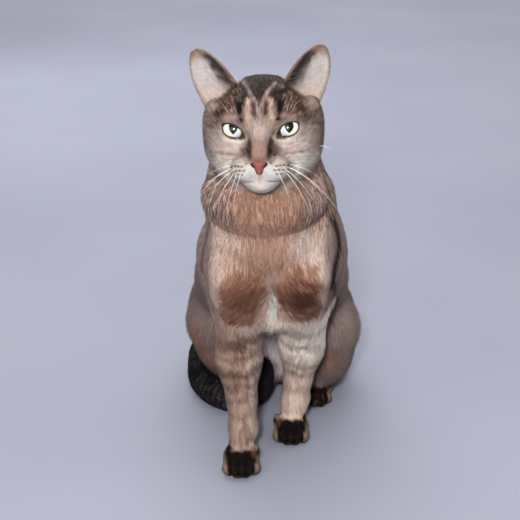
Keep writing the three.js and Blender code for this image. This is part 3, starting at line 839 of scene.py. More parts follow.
def paint_foreleg(hair, normal, side):
    """Barred forelegs with dark feet and pale toe edges. The left one is paler, partly as its own colour and
    partly as painted light at its top.
    """
    p, right = hair.places, side < 0
    x, y, z = p.T
    elbow, wrist, paw, turn = FORELEG[side]
    share = np.clip((z - wrist[2]) / (elbow[2] - wrist[2]), 0, 1)
    centre_x = wrist[0] + (elbow[0] - wrist[0]) * share
    near = ramp(150, 134, z) * ramp(34, 26, np.abs(x - centre_x)) * ramp(66, 58, y)
    front = np.clip(-normal[:, 1] * 1.2, 0, 1)
    outer = np.clip(side * (x - centre_x) / 18, -1, 1)
    hair.over("leg" if right else "pale_leg", near)
    if right:
        hair.over("beige", near * ramp(90, 66, z) * 0.7)
    hair.over("leg_edge", near * (1 - front) * (0.8 if right else 0.45))
    # painted light: the top of the left foreleg is painted paler still than its own pale colour, against the
    # shade it lies in
    if not right:
        hair.over("pale_with_painted_light", near * ramp(70, 100, z))
    inner_strip = ramp(0.15, 0.55, -outer) * (0.35 if right else 0.9 * ramp(60, 92, z))
    hair.over("cream", near * inner_strip * front)
    wob = wave(p, 16, 11 + side) * 3.5 + wave(p, 5, 12) * 1.6
    mottle = ramp(0.5, 0.9, clumps(streak_places(p), 4.5, 81)) * ramp(0.9, 0.2, np.abs(outer + 0.1))
    hair.over("bar", near * mottle * front * (0.5 if right else 0.34))
    for height, thick, amount in LEG_BARS[side]:
        bar = 1 - ramp(thick * 0.5, thick * 1.5, np.abs(z - height + wob + 3 * outer))
        hair.over("bar", bar * near * amount * (0.3 + 0.7 * front))
    local = in_foot(p, paw, turn)
    paint_foot(hair, local, FOREPAW_WIDTH, 21.5)
    hair.over("chocolate", spot(local, (-side * 13, 3, 21), (3.5, 7, 5), 0.5) * 0.8)


def near_foot(local, width):
    """1 over a foot and the shin behind it."""
    across = ramp(width * 0.85, width * 0.72, np.abs(local[:, 0]))
    return across * ramp(46, 38, local[:, 1]) * ramp(-30, -24, local[:, 1])


def paint_foot(hair, local, width, top):
    """A dark top with pale outer edges, pale toe tips and dark grooves between the toes."""
    u, v, z = local.T
    wob = wave(local, 7, 15)
    dark = ramp(top + 1.2, top - 1.2, z + wob * 0.8) * near_foot(local, width)
    across = np.abs(u) / toe_pitch(width)
    hair.over("paw", dark)
    between = ramp(0.3, 0.08, np.abs(across - 1)) + ramp(0.24, 0.06, across)
    hair.over("bar", dark * np.clip(between, 0, 1) * ramp(5, 9, z) * ramp(17, 13, z) * 0.15)
    tips = ramp(6.8, 3.2, z + 1.2 * wob) * ramp(4, -6, v)
    sides = ramp(1.6, 2.15, across + 0.15 * wob) * ramp(19, 13, z)
    pale = np.clip(tips * 0.65 + sides * 0.8, 0, 1) * (1 - 0.8 * np.clip(between * (z < 7), 0, 1))
    hair.over("toe", pale * dark * 0.9)


def paint_hind_foot(hair, side):
    _, paw, turn = HINDLEG[side]
    local = in_foot(hair.places, paw, turn)
    paint_foot(hair, local, HINDPAW_WIDTH, 22)
    under = ramp(26, 16, hair.places[:, 2]) * ramp(40, 50, local[:, 1]) * ramp(26, 20, np.abs(local[:, 0]))
    hair.over("paw", under * 0.8)


WHISKER_ROWS = (
    ((23.2, -27.2), (20.0, -26.3), (17.1, -26.4), (14.1, -26.6)),
    ((22.6, -30.8), (19.2, -30.2), (15.9, -29.9), (12.4, -30.1)),
    ((17.7, -33.5), (14.4, -33.5)),
)
# the dark blotch over the eye
BLOTCH = ((16.9, -35.2, 21.2), (15.9, -38, 14.2), (14.8, -38.7, 8.8))
# pale lines from the crown that meet over the nose
FOREHEAD_LINES = (
    ("mauve", ((-14.6, -12.8, 38), (-7.7, -31.6, 29), (-2.7, -37.5, 21.3), (-1.2, -40, 12.7)), 1.6, 0.8, 0.6),
    ("mauve", ((12.9, -18.6, 36.6), (6.1, -31.4, 29.5), (2.2, -38.2, 20.4), (1.3, -40.4, 11.8)), 1.6, 0.8, 0.6),
)
# lines on the left side of the face, which the right side mirrors
FACE_LINES = (
    ("tan", ((9.1, -35.7, 24), (9.5, -38.3, 16), (9.7, -39.5, 9)), 2.3, 0.7, 0.9),
    ("tan", ((9.7, -39.5, 9), (11.5, -40, 3)), 2.6, 0.9, 0.6),
    ("umber", ((5.3, -37.7, 20.5), (4.2, -40, 12.5)), 1.7, 0.8, 0.75),
    ("black", BLOTCH, 2.5, 0.35, 1.0),
    ("tan", ((20, -38.5, 11), (24, -38, 10), (29, -36, 9.5)), 2.0, 0.9, 0.5),
    ("under_eye", ((28.5, -36, -10), (19, -39.6, -11.4), (14, -41, -10.4)), 2.9, 0.8, 0.95),
    ("side", ((33, -36, -18.5), (26, -39, -19.5), (20.6, -42.2, -19)), 1.5, 0.9, 0.6),
    ("crown", ((37, -27, 4.5), (42, -20, 3.5), (47, -12, 2.5)), 2.4, 0.9, 0.4),
    ("side", ((38, -32, -18), (33, -35.5, -19)), 1.6, 0.9, 0.6),
    ("umber", ((10, -44, -8.6), (8.6, -54, -14.8), (7.4, -61.5, -21.5)), 2.6, 0.85, 0.85),
    ("umber", ((13.2, -38.6, -5.4), (10.8, -43.3, -8.8)), 1.7, 0.6, 0.95),
)
PAD_EDGE = ((25.4, -42, -28), (25.2, -40, -31.5), (22.5, -50, -34.4), (17, -58, -35.6))


def eye_rim(q, reach):
    """Which places are near the eyes, and how far each lies outside the opening, one eye after the other."""
    for s in (-1, 1):
        out, up, _ = eye_axes(s)
        rel = q - eye_centre(s)
        close = (length_of(rel) < reach) & (q[:, 1] < -18)
        yield close, almond_distance(rel[close] @ out, rel[close] @ up)


def paint_muzzle(hair):
    """The pads, lips and chin, with a dark dot at each whisker."""
    x, y, z = hair.places.T
    for s in (-1, 1):
        hair.spot("pad", (s * 15, -56, -30), (13, 20, 9.5), 0.4, 0.9)
    hair.spot("white", (0, -60, -35), (15.5, 22, 9.5), 0.35)
    hair.spot("white", (0, -54, -44), (19, 26, 8), 0.35)
    # painted light: the underside of the chin is painted paler, against the shade beneath it
    hair.spot("pale_with_painted_light", (0, -50, -49), (15, 22, 6), 0.5, 0.9)
    for s in (-1, 1):
        # painted shade: a soft grey line along the mouth, under the overhanging whisker pads
        hair.line("side", mirrored(MOUTH[1:5], s), 0.9, 0.8, 0.45)
        for row in WHISKER_ROWS:
            for across, height in row:
                dot = np.hypot((x - s * across) / 1.3, (z - height) / 0.9)
                hair.over("dot", (1 - ramp(0.6, 1.3, dot)) * (y < -30) * 0.8)
        hair.line("dot", mirrored(PAD_EDGE, s), 0.6, 0.8, 0.4)
    hair.spot("lip", (0, -60.5, -38), (2.4, 6, 3.2), 0.7, 0.6)
    hair.line("dot", ((0, -64.5, -31), (0, -62, -36)), 0.9, 0.6)


def head_markings(q):
    """The head, at places in its own frame."""
    x, y, z = q.T
    ax = np.abs(x)
    wob, fine = wave(q, 12, 21), wave(q, 4, 22)
    hair = Paint(q, "side")
    hair.over("cheek", ramp(-8, -28, y) * ramp(6, -6, z + 3 * wob) * 0.9)
    for s in (-1, 1):
        # painted light: the lower cheeks and the jaws, which turn downwards and outwards into shade, are
        # painted paler
        hair.spot("pale_with_painted_light", (s * 35, -28, -28), (16, 23, 12), 0.7, 1 if s > 0 else 0.85)
        hair.spot("side", (s * 42, -22, -21), (4.5, 9, 5), 0.8, 0.1 if s > 0 else 0.5)
        hair.spot("under_eye", (s * 35, -31, -3), (4.5, 10, 8), 0.6, 0.85)
        hair.spot("cheek", (s * 23, -40, -15), (10, 12, 5), 0.7, 0.5)
    # forehead and crown
    hair.over("brow", ramp(12, -2, z) * ramp(20, 12, ax) * ramp(-24, -34, y))
    hair.over("crown", ramp(13, 24, z + 2.5 * fine + 0.12 * (ax - 8)) * 0.95)
    for s in (-1, 1):
        hair.spot("temple", (s * 31, -22, 17), (15, 18, 10), 0.5, 0.95)
        hair.spot("brow", (s * 22, -38, 10.5), (7, 10, 2.2), 0.8, 0.2)
        hair.line("brow", ((s * 22.5, -37, 9), (s * 20, -36.5, 15)), 1.8, 0.8, 0.6)
    hair.spot("brow", (0, -42, 9), (14, 22, 13), 0.6, 0.92)
    hair.spot("bridge_top", (0, -44, 0), (11, 20, 9), 0.6, 0.9)
    hair.lines(FOREHEAD_LINES)
    for name, points, radius, soft, amount in FACE_LINES:
        for s in (-1, 1):
            hair.line(name, mirrored(points, s), radius, soft, amount)
    # the bridge of the nose, darker beside the leather
    hair.over("bridge", ramp(-6, -11, z) * ramp(7.5, 4.5, ax) * ramp(-44, -48, y) * (z > -26) * 0.85)
    hair.over("chocolate", ramp(-17, -22, z) * ramp(-56, -60, y) * (z > -25) * 0.6)
    for s in (-1, 1):
        hair.spot("black", (s * 7.8, -62, -23.0), (2.3, 4, 1.8), 0.6, 0.85)
    paint_muzzle(hair)
    rim = np.full(len(q), 9.0)
    for close, far in eye_rim(q, 20):
        rim[close] = np.minimum(rim[close], far)
    hair.over("cream", ramp(4.2, 1.8, rim) * ramp(-2, -7, z) * 0.7)
    hair.over("umber", ramp(1.1, 0.4, rim) * 0.95)
    # the hollow before each ear is as pale as the ear, and dark brown towards the crown
    for s in (-1, 1):
        hollow = ramp(3.0, 0.6, EAR_HOLLOW[s](q)) * ramp(-18, -10, y)
        outwards = ax + 0.4 * (z - 26) + 2 * fine
        hair.over("peach", hollow * ramp(26, 33, outwards))
        hair.over("ear_dark", hollow * ramp(31, 25, outwards) * 0.8)
        hair.line("ear_rim", ((s * 27, -17, 29), (s * 33, -17, 25), (s * 39, -15, 21)), 4.5, 0.7, 0.5)
        hair.spot("peach", (s * 42, -8, 19), (8, 12, 6), 0.6, 0.75)
    return hair.colour


def ear_markings(q, side, inside):
    """One ear. inside says how far the surface faces into the scoop."""
    v, across, _ = EAR[side].shares(q)
    edge = EAR[side].edge(v, across)
    streaky = 0.14 * wave(q * (1, 1, 0.35), 3.0, 31) + 0.1 * wave(q, 7, 32)
    medial = ramp(-0.08, 0.5, edge + streaky + 0.1 * ramp(0.7, 1, v))
    within, outer = Paint(q, "ear_inside"), Paint(q, "ear_back")
    within.over("peach", ramp(0.42, 0.15, v + 0.25 * streaky) * 0.8)
    within.over("ear_dark", medial * ramp(0.02, 0.3, v) * 0.9)
    within.over("ear_rim", ramp(0.86, 0.98, -edge) * 0.9 + ramp(0.93, 1.0, edge) * 0.8)
    within.over("ear_rim", ramp(0.82, 0.95, v) * 0.9)
    outer.over("ear_dark", ramp(0.55, 0.95, v) * 0.5)
    return outer.colour + (within.colour - outer.colour) * inside[:, None]


def tail_markings(p, share):
    """A nearly black tail with faint paler rings, and none at its tip. The tip has painted light, against the
    shade behind the legs.
    """
    hair = Paint(p, "tail")
    turn = share * 58 + 0.25 * wave(p, 14, 41)
    ring = ramp(0.8, 1.0, np.abs(np.sin(math.pi * turn)))
    # painted light: the tip, in shade behind the legs, is painted lighter
    hair.lighten(1.2 * ramp(0.78, 0.9, share))
    hair.over("ring", ring * (0.45 + 0.3 * wave(p, 6, 42)) * ramp(0.9, 0.78, share))
    return hair.colour


def markings(p, normal, ear, tail):
    """The coat's colour at places in the cat's frame. ear is -1, 0 or 1, and tail is true on the tail."""
    hair = body_markings(p, normal)
    for _, side in SIDES:
        paint_foreleg(hair, normal, side)
        paint_hind_foot(hair, side)
    colour = hair.colour
    q = to_head(p)
    head_normal = normal @ HEAD_TURN
    on_head = ramp(-4, 2, above_nape(p) + 2 * wave(p, 8, 51))
    shown = on_head > 0
    colour[shown] += (head_markings(q[shown]) - colour[shown]) * on_head[shown][:, None]
    for _, side in SIDES:
        mine = ear == side
        inside = ramp(-0.15, 0.25, head_normal[mine] @ EAR[side].facing)
        colour[mine] = ear_markings(q[mine], side, inside)
    if tail.any():
        _, share = near_tail(p[tail])
        colour[tail] = tail_markings(p[tail], share)
    return np.clip(colour, DARKEST, PALEST)


NOSE_TIP = np.array((0, -60, -24.0))


def streak_places(p):
    """Places squeezed along the lie of the coat, so that what varies with them runs in streaks."""
    squeezed = p - (0, 0, 240)
    loose = np.maximum(ramp(232, 244, p[:, 2]), ramp(66, 96, p[:, 1]))
    squeezed[:, 2] *= 0.28 + 0.5 * loose
    from_nose = to_head(p) - NOSE_TIP
    far = np.maximum(length_of(from_nose), 1)
    on_head = above_nape(p) > 0
    squeezed[on_head] = (from_nose / far[:, None] * (40 + 0.42 * (far - 40))[:, None])[on_head]
    return squeezed


def clumps(places, size, seed):
    """A steady random amount from 0 to 1 for each clump of hair about size across."""
    waver = np.column_stack([wave(places, size * 3.5, seed + k) for k in range(3)]) * size * 0.7
    cell = np.floor((places + waver) / size).astype(np.int64)
    mixed = cell @ np.array([73856093, 19349663, 83492791]) + seed * 7919
    mixed = ((mixed ^ (mixed >> 13)) * 1274126177) & 0x7FFFFFFF
    return (mixed % 10007) / 10007


def mix(amount, other, share):
    return amount + (other - amount) * share


def ticking(p, colour, ear, tail, lone):
    """Varies the coat's colour from clump to clump and hair to hair. lone is a random amount for each hair."""
    q = to_head(p)
    x, _, z = q.T
    head = ramp(-4, 4, above_nape(p))
    below_head = 1 - head
    off_middle = np.abs(p[:, 0] - 5)
    places = streak_places(p)
    amount = 0.5 * clumps(places, 1.3, 71) + 0.2 * clumps(places, 3.2, 75) + 0.3 * lone
    on_head = 0.5 * clumps(places, 1.1, 72) + 0.15 * clumps(places, 3.0, 76) + 0.35 * lone
    amount = mix(amount, on_head, head)
    # how much it varies: forelegs, ruff, hind part, head, salted crown and temples, muzzle
    contrast = np.full(len(p), 0.28)
    contrast = mix(contrast, 0.24, ramp(150, 110, p[:, 2]) * ramp(66, 56, p[:, 1]))
    contrast = mix(contrast, 0.36 + 0.3 * ramp(24, 40, off_middle), ramp(234, 244, p[:, 2]))
    contrast = mix(contrast, 0.12, ramp(60, 90, p[:, 1]))
    contrast = mix(contrast, 0.34, head)
    salted = head * np.maximum(ramp(9, 16, z), ramp(26, 34, np.abs(x)) * ramp(-6, 4, z))
    salted *= 1 - spot(q, (0, -42, 6), (11, 22, 15), 0.5) * 0.6
    for s in (-1, 1):
        salted *= 1 - stroke(q, mirrored(BLOTCH, s), 3.4, 0.5)
    contrast = mix(contrast, 0.62, salted)
    contrast = mix(contrast, 0.1, head * spot(q, (0, -56, -38), (24, 24, 15), 0.4))
    contrast[ear != 0] = 0.22
    contrast[tail] = 0.25
    shade = 1 + contrast * (amount - 0.5) * 3.2
    colour = colour * np.clip(shade, 0.25, 1.8)[:, None]
    # the share of hairs with pale tips
    salt = salted * (0.12 + 0.5 * ramp(10, 24, np.abs(x)))
    salt = np.maximum(salt, below_head * 0.14 * ramp(10, 40, p[:, 1]))
    pale_tips = 0.3 + 0.3 * ramp(20, 38, off_middle)
    salt = np.maximum(salt, below_head * pale_tips * ramp(236, 244, p[:, 2]))
    salt[(ear != 0) | tail] = 0
    tips = ramp(0.63, 0.75, amount) * salt
    tick = HAIR["tick"] + (HAIR["crown_tick"] - HAIR["tick"]) * head[:, None]
    return colour + (tick - colour) * (tips * (colour.mean(1) > 0.005))[:, None]


# ---------------------------------------------------------------- materials


def new_material(name, **inputs):
    """A material with some sockets of its shader set, and its nodes, links and shader."""
    material = bpy.data.materials.new(name)
    material.use_nodes = True
    shader = material.node_tree.nodes["Principled BSDF"]
    for key, value in inputs.items():
        shader.inputs[key.replace("_", " ")].default_value = value
    return material, material.node_tree.nodes, material.node_tree.links, shader


def object_grain(nodes, links, scale, detail=2.0):
    """A fine grain that is fixed to the piece."""
    place, grain = nodes.new("ShaderNodeTexCoord"), nodes.new("ShaderNodeTexNoise")
    grain.inputs["Scale"].default_value = scale
    grain.inputs["Detail"].default_value = detail
    links.new(place.outputs["Object"], grain.inputs["Vector"])
    return grain.outputs["Fac"]


def fitted(nodes, links, value, low, high, start=0.0, end=1.0):
    """Fits a value that runs from start to end to the span from low to high."""
    span = nodes.new("ShaderNodeMapRange")
    for key, number in (("From Min", start), ("From Max", end), ("To Min", low), ("To Max", high)):
        span.inputs[key].default_value = number
    links.new(value, span.inputs["Value"])
    return span.outputs["Result"]


def tint_by_attribute(nodes, links, shader, attribute, shade):
    """Colours a shader by a colour kept on the mesh, times a shade."""
    colour, tint = nodes.new("ShaderNodeAttribute"), nodes.new("ShaderNodeVectorMath")
    colour.attribute_name = attribute
    tint.operation = "SCALE"
    links.new(colour.outputs["Color"], tint.inputs[0])
    links.new(shade, tint.inputs["Scale"])
    links.new(tint.outputs["Vector"], shader.inputs["Base Color"])


def skin_material(name, roughness, scale, bump):
    """Skin, leather or hair with the mesh's own colours. scale is that of its grain and bump its depth."""
    material, nodes, links, shader = new_material(
        name, Specular_IOR_Level=0.06, Sheen_Weight=0.015, Sheen_Roughness=0.4
    )
    grain = object_grain(nodes, links, scale, 3)
    tint_by_attribute(nodes, links, shader, "coat_colour", fitted(nodes, links, grain, 0.86, 1.12, 0.3, 0.7))
    links.new(fitted(nodes, links, grain, roughness - 0.08, roughness + 0.1), shader.inputs["Roughness"])
    raised = nodes.new("ShaderNodeBump")
    raised.inputs["Strength"].default_value = bump
    raised.inputs["Distance"].default_value = 0.0004
    links.new(grain, raised.inputs["Height"])
    links.new(raised.outputs["Normal"], shader.inputs["Normal"])
    return material


def eye_material():
    material, nodes, links, shader = new_material(
        "iris", Coat_Weight=0.7, Coat_Roughness=0.03, Roughness=0.3, Specular_IOR_Level=0.2
    )
    shade = fitted(nodes, links, object_grain(nodes, links, 900), 0.94, 1.06)
    tint_by_attribute(nodes, links, shader, "eye_colour", shade)
    return material


def colour_vertices(mesh, attribute, colour):
    layer = mesh.color_attributes.new(attribute, "FLOAT_COLOR", "POINT")
    layer.data.foreach_set("color", np.column_stack([colour, np.ones(len(colour))]).astype(np.float32).ravel())


# ---------------------------------------------------------------- the skin

# in mm: how much the copies of the solids grow, the lowest height of the skin, and how thick an ear is
GROWTH, LOWEST, EAR_THICKNESS = 0.6, 0.3, 1.1


def coat_depth(p):
    """How far the skin lies under the outline, in mm."""
    z = p[:, 2]
    depth = np.full(len(p), 3.4)
    depth += 1.2 * spot(p, (4, -20, 262), (60, 50, 34), 0.6)
    forelegs = ramp(150, 110, z) * ramp(66, 56, p[:, 1])
    depth = mix(depth, 2.0, forelegs)
    depth = mix(depth, 1.5, ramp(52, 26, z))
    depth += 1.0 * forelegs * ramp(20, 28, z) * ramp(58, 44, z)
    face = 1.7 - 0.8 * ramp(-15, -45, to_head(p)[:, 1])
    return mix(depth, face, ramp(-10, 4, above_nape(p)))


def skin_field(p):
    return outline(p) + coat_depth(p)


def toed_skin_field(p):
    """The skin of the feet, with grooves between the toes."""
    value = skin_field(p)
    for place, turn, width in FEET:
        pitch = toe_pitch(width)
        local = in_foot(p, place, turn)
        close = (np.abs(local[:, 0]) < 22) & (local[:, 1] < 8) & (local[:, 2] < 24)
        for g in (-1, 0, 1):
            groove = crease(((g * pitch, -15, 2), (g * pitch, -13.5, 9), (g * pitch * 0.9, -4, 16.5)), 1.0)
            value[close] = -soft_min(-value[close], groove(local[close]), 1.6)
    return value


def at_toes(p):
    near = np.zeros(len(p), bool)
    for place, _, _ in FEET:
        x, y, z = (p - np.array(place, float)).T
        near |= (np.abs(x) < 22) & (y < 6) & (y > -24) & (z < 26)
    return near


def detailed_skin_field(p):
    """The skin of the head and the neck, with the face's finer shapes."""
    depth = coat_depth(p)
    return soft_min(face_mass(to_head(p), depth), neck_mass(p) + depth, 10)


def on_face(p):
    x, y, z = to_head(p).T
    return (above_nape(p) > 6) & (y < -22) & (z < 24) & (np.abs(x) < 38)


def at_lids_or_lips(p):
    q = to_head(p)
    at_eye = np.minimum(*[length_of(q - eye_centre(s) - (0, -8, 0)) for s in (-1, 1)]) < 15
    return (at_eye & (q[:, 1] < -25)) | ((q[:, 1] < -44) & (np.abs(q[:, 0]) < 14))


def refine(o, chosen):
    """Subdivides the faces whose centres a test picks."""
    mesh = o.data
    picked = chosen(to_cat(values_of(mesh.polygons, "center", 3)))
    choose(o)
    bpy.ops.object.mode_set(mode="EDIT")
    bpy.ops.mesh.select_mode(type="FACE")
    bpy.ops.mesh.select_all(action="DESELECT")
    bpy.ops.object.mode_set(mode="OBJECT")
    mesh.polygons.foreach_set("select", picked)
    bpy.ops.object.mode_set(mode="EDIT")
    bpy.ops.mesh.subdivide(number_cuts=1)
    bpy.ops.object.mode_set(mode="OBJECT")


def settle_skin(skin, field, turns, reach, chosen=None, lowest=-math.inf):
    """Moves the skin's points, or those that a test picks, onto a field's surface, and lifts all to lowest."""
    p = to_cat(points_of(skin.data))
    near = chosen(p) if chosen else np.ones(len(p), bool)
    p[near] = settle(p[near], field, turns, reach)
    p[:, 2] = np.maximum(p[:, 2], lowest)
    set_points(skin.data, to_world(p))


def make_ear(side, material):
    bpy.ops.mesh.primitive_grid_add(x_subdivisions=30, y_subdivisions=34, size=2)
    o = bpy.context.object
    flat = points_of(o.data)
    u, v = (flat[:, 0] + 1) / 2, (flat[:, 1] + 1) / 2
    place, _ = EAR[side].wall(u, 1 - (1 - v) ** 1.9)
    set_points(o.data, to_world(from_head(place)))
    o.data.materials.append(material)
    apply_modifier(o, "SOLIDIFY", thickness=EAR_THICKNESS * MM, offset=0)
    apply_modifier(o, "SUBSURF", levels=1, render_levels=1)
    face_outwards(o)
    return o


def make_tail(depth, material):
    radii = np.maximum(tail_radius(np.linspace(0, 1, len(TAIL_SPINE))) - depth, 1.0)
    o = threads("tail_core", [(TAIL_SPINE, radii, False)], sides=24)
    o.data.materials.append(material)
    return o


def fattened_flesh():
    """Copies of the solids of flesh, eyes and nose as one object, each grown a little so that they overlap."""
    copies = []
    for name in FLESH + ["eye_right", "eye_left", "nose"]:
        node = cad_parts[name]
        copy = node.copy()
        copy.data = node.data.copy()
        copy.parent = None
        bpy.context.scene.collection.objects.link(copy)
        for key in list(copy.keys()):
            del copy[key]
        with editing(copy):
            bpy.ops.mesh.remove_doubles(threshold=1e-5)
            bpy.ops.transform.shrink_fatten(value=GROWTH * MM)
        copies.append(copy)
    choose(*copies)
    bpy.ops.object.join()
    flesh = bpy.context.object
    flesh.data.materials.clear()
    return flesh


def make_skin(sizes):
    """The skin of the body and head from a net round the flesh, joined to the ears and the tail."""
    skin = fattened_flesh()
    skin.name = skin.data.name = "skin"
    apply_modifier(skin, "REMESH", mode="VOXEL", voxel_size=sizes.skin_grain, adaptivity=0)
    settle_skin(skin, skin_field, turns=4, reach=9.0)
    for _ in range(2):
        apply_modifier(skin, "SMOOTH", factor=0.5, iterations=2)
        settle_skin(skin, skin_field, turns=2, reach=4.0)
    refine(skin, lambda p: (above_nape(p) > 3) | at_toes(p))
    settle_skin(skin, toed_skin_field, turns=4, reach=2.5, chosen=at_toes)
    refine(skin, on_face)
    settle_skin(skin, detailed_skin_field, 3, reach=3.0, chosen=lambda p: above_nape(p) > 4, lowest=LOWEST)
    refine(skin, at_lids_or_lips)
    settle_skin(skin, detailed_skin_field, turns=4, reach=2.5, chosen=on_face)

    coat = skin_material("skin_under_coat", roughness=0.62, scale=700.0, bump=0.25)
    ear = skin_material("ear_skin", roughness=0.55, scale=420.0, bump=0.15)
    skin.data.materials.append(coat)
    for piece in (make_tail(sizes.coat_depth / MM, coat), *[make_ear(side, ear) for _, side in SIDES]):
        apply_modifier(
            skin, "BOOLEAN", operation="UNION", solver="MANIFOLD", object=piece, material_mode="TRANSFER"
        )
        bpy.data.objects.remove(piece)
    with editing(skin):
        bpy.ops.mesh.quads_convert_to_tris(quad_method="BEAUTY", ngon_method="BEAUTY")
    apply_modifier(skin, "DECIMATE", ratio=sizes.skin_share)
    with editing(skin):
        bpy.ops.uv.smart_project(angle_limit=math.radians(66), island_margin=0.002)
    skin.data.uv_layers.active.name = "OFBake"
    bpy.ops.object.shade_smooth()
    return skin


class SkinParts:
    """What the coat needs to know of the finished skin: arrays by point, triangle or corner."""

    points = triangles = normals = uv = ear = tail = None


def study_skin(skin):
    """Reads the skin's triangles for the coat, and paints the markings on its vertices, darkened as painted
    shade under the coat.
    """
    mesh = skin.data
    p = to_cat(points_of(mesh))
    corners = values_of(mesh.polygons, "vertices", 3, np.int32)
    normals = values_of(mesh.vertex_normals, "vector", 3).astype(float)
    uv = values_of(mesh.uv_layers["OFBake"].data, "uv", 2).reshape(-1, 3, 2)
    on_ear = corners[values_of(mesh.polygons, "material_index", 1, np.int32) > 0].ravel()
    ear = np.zeros(len(p), int)
    ear[on_ear] = np.where(p[on_ear, 0] < HEAD_PLACE[0], -1, 1)
    off_tail, share = near_tail(p)
    tail = (off_tail < -1.0) & (share > 0.1) & (p[:, 2] < 78)
    shown_at = p + normals * (coat_depth(p) * (ear == 0))[:, None]
    # painted shade: the skin is painted darker than the hair, so that the gaps between the tufts read as depth
    colour_vertices(mesh, "coat_colour", markings(shown_at, normals, ear, tail) * 0.8)
    SkinParts.points, SkinParts.triangles, SkinParts.normals = p, corners, normals
    SkinParts.uv, SkinParts.ear, SkinParts.tail = uv, ear, tail


# ---------------------------------------------------------------- the coat


def flattened(way, normal):
    """Directions laid along the skin."""
    return unit(way - normal * (way * normal).sum(1)[:, None])


def lie_of_coat(p, normal, ear, tail):
    """Which way the hair runs at places on the skin: from the nose back, then down and back to the toes."""
    x, y, z = p.T
    down = -np.ones(len(p))
    way = np.column_stack([-0.12 * np.sign(x - 8) * ramp(30, 0, y), 0.55 * ramp(25, 100, y), down])
    feet = np.zeros(len(p))
    for place, turn, width in FEET:
        top = 34 if width == FOREPAW_WIDTH else 26
        feet = np.maximum(feet, ramp(top, top - 14, z) * near_foot(in_foot(p, place, turn), FOREPAW_WIDTH))
    way = mix(way, np.array((0, -1.2, -0.4)), feet[:, None])
    for side, middle in ((-1, (-14.5, -28, 178)), (1, (34.5, -28, 180))):
        way[:, 0] += side * 1.3 * spot(p, middle, (24, 40, 28), 0.5)
    q = to_head(p)
    from_nose = unit(q - NOSE_TIP)
    back_way = np.column_stack([0.2 * np.sign(q[:, 0]), 0.3 * np.ones(len(q)), down])
    head_way = mix(from_nose, back_way, ramp(10, 34, q[:, 1])[:, None]) @ HEAD_TURN.T
    way = mix(way, head_way, ramp(-12, 8, above_nape(p))[:, None])
    for _, side in SIDES:
        way[ear == side] = (EAR[side].axis + 0.35 * side * np.array((1, 0, 0))) @ HEAD_TURN.T
    if tail.any():
        _, share = near_tail(p[tail])
        last = len(TAIL_SPINE) - 2
        at = np.clip((share * (last + 1)).astype(int), 0, last)
        way[tail] = np.diff(TAIL_SPINE, axis=0)[at]
    swirl = np.column_stack([wave(p, 30, seed) for seed in (61, 62, 63)])
    fray = np.column_stack([wave(p, 7, seed) for seed in (64, 65, 66)])
    return flattened(unit(way) + 0.13 * swirl + 0.16 * fray * (1 - 0.7 * feet)[:, None], normal)


def ear_roots(q):
    """1 on the head round the opening of each ear, where longer hair rises over its base."""
    near = np.zeros(len(q))
    for s in (-1, 1):
        ridge = ((s * 22, -14, 31), (s * 27, -17, 28), (s * 31, -17, 25), (s * 36, -16, 22))
        near = np.maximum(near, stroke(q, ridge, 5.0, 0.6))
    return near


def coat_measures(p, ear, tail):
    """Each tuft's length, width and height above the skin in mm, and how many grow on a square mm."""
    _, y, z = p.T
    q = to_head(p)
    head = ramp(-10, 8, above_nape(p))
    measures = np.tile((10.0, 0.62, 3.9, 0.98), (len(p), 1))
    for values, share in (
        ((13.0, 0.85, 4.8, 0.7), spot(p, (4, -20, 258), (62, 52, 34), 0.6)),
        ((11.0, 0.7, 3.8, 0.95), ramp(44, 30, y) * ramp(140, 165, z) * ramp(250, 235, z)),
        ((7.0, 0.6, 2.1, 1.2), ramp(140, 100, z) * ramp(66, 56, y)),
        ((3.4, 0.46, 1.4, 2.6), ramp(46, 28, z) * ramp(80, 66, y)),
        ((3.4, 0.46, 1.4, 2.2), ramp(30, 20, z) * ramp(60, 80, y)),
        ((5.0, 0.42, 2.4, 2.4), head),
        ((4.2, 0.42, 1.1, 3.0), head * ramp(-12, -34, q[:, 1])),
        ((2.4, 0.3, 0.7, 5.0), head * ramp(-46, -56, q[:, 1])),
        ((9.5, 0.42, 4.0, 2.4), head * ear_roots(q)),
        ((3.4, 0.36, 0.7, 2.8), (ear != 0).astype(float)),
        ((6.5, 0.75, 3.4, 1.05), tail.astype(float)),
    ):
        measures = mix(measures, np.array(values), share[:, None])
    return measures.T


def hair_grows(p):
    """1 where hair grows, and 0 on the nose, the lids' edges and the soles."""
    q = to_head(p)
    grows = ramp(0.6, 2.5, p[:, 2]) * ramp(0.2, 0.8, nose_local(q))
    for close, far in eye_rim(q, 18):
        grows[close] *= ramp(0.5, 1.1, far)
    return grows


# name, slot, whether its tufts are plain spikes, and whether they are evenly shaded, with less painted shade at
# their roots
PIECES = (
    ("coat_chest", "coat", False, False),
    ("coat_right_side", "coat", True, True),
    ("coat_left_side", "coat", True, True),
    ("coat_legs", "dark_coat", True, False),
    ("coat_face", "coat", True, False),
    ("coat_head", "coat", True, False),
    ("coat_ears", "ear", True, False),
    ("coat_tail", "dark_coat", False, False),
)
# how many faces a tuft of each kind and a whole piece may have
SPIKE_FACES, SPINDLE_FACES, MOST_FACES = 4, 6, 199000


def coat_labels(root, ear, tail):
    """Which piece of the coat each tuft belongs to, as its place in PIECES."""
    x, y, z = root.T
    on_head = above_nape(root) > 0
    front = to_head(root)[:, 1] < -14
    labels = np.zeros(len(root), int)
    labels[y > 62] = 1
    labels[(y > 62) & (x > 15)] = 2
    labels[(((z < 100) & (y < 60)) | (z < 26)) & ~on_head] = 3
    labels[on_head & front] = 4
    labels[on_head & ~front] = 5
    labels[ear != 0] = 6
    labels[tail] = 7
    return labels


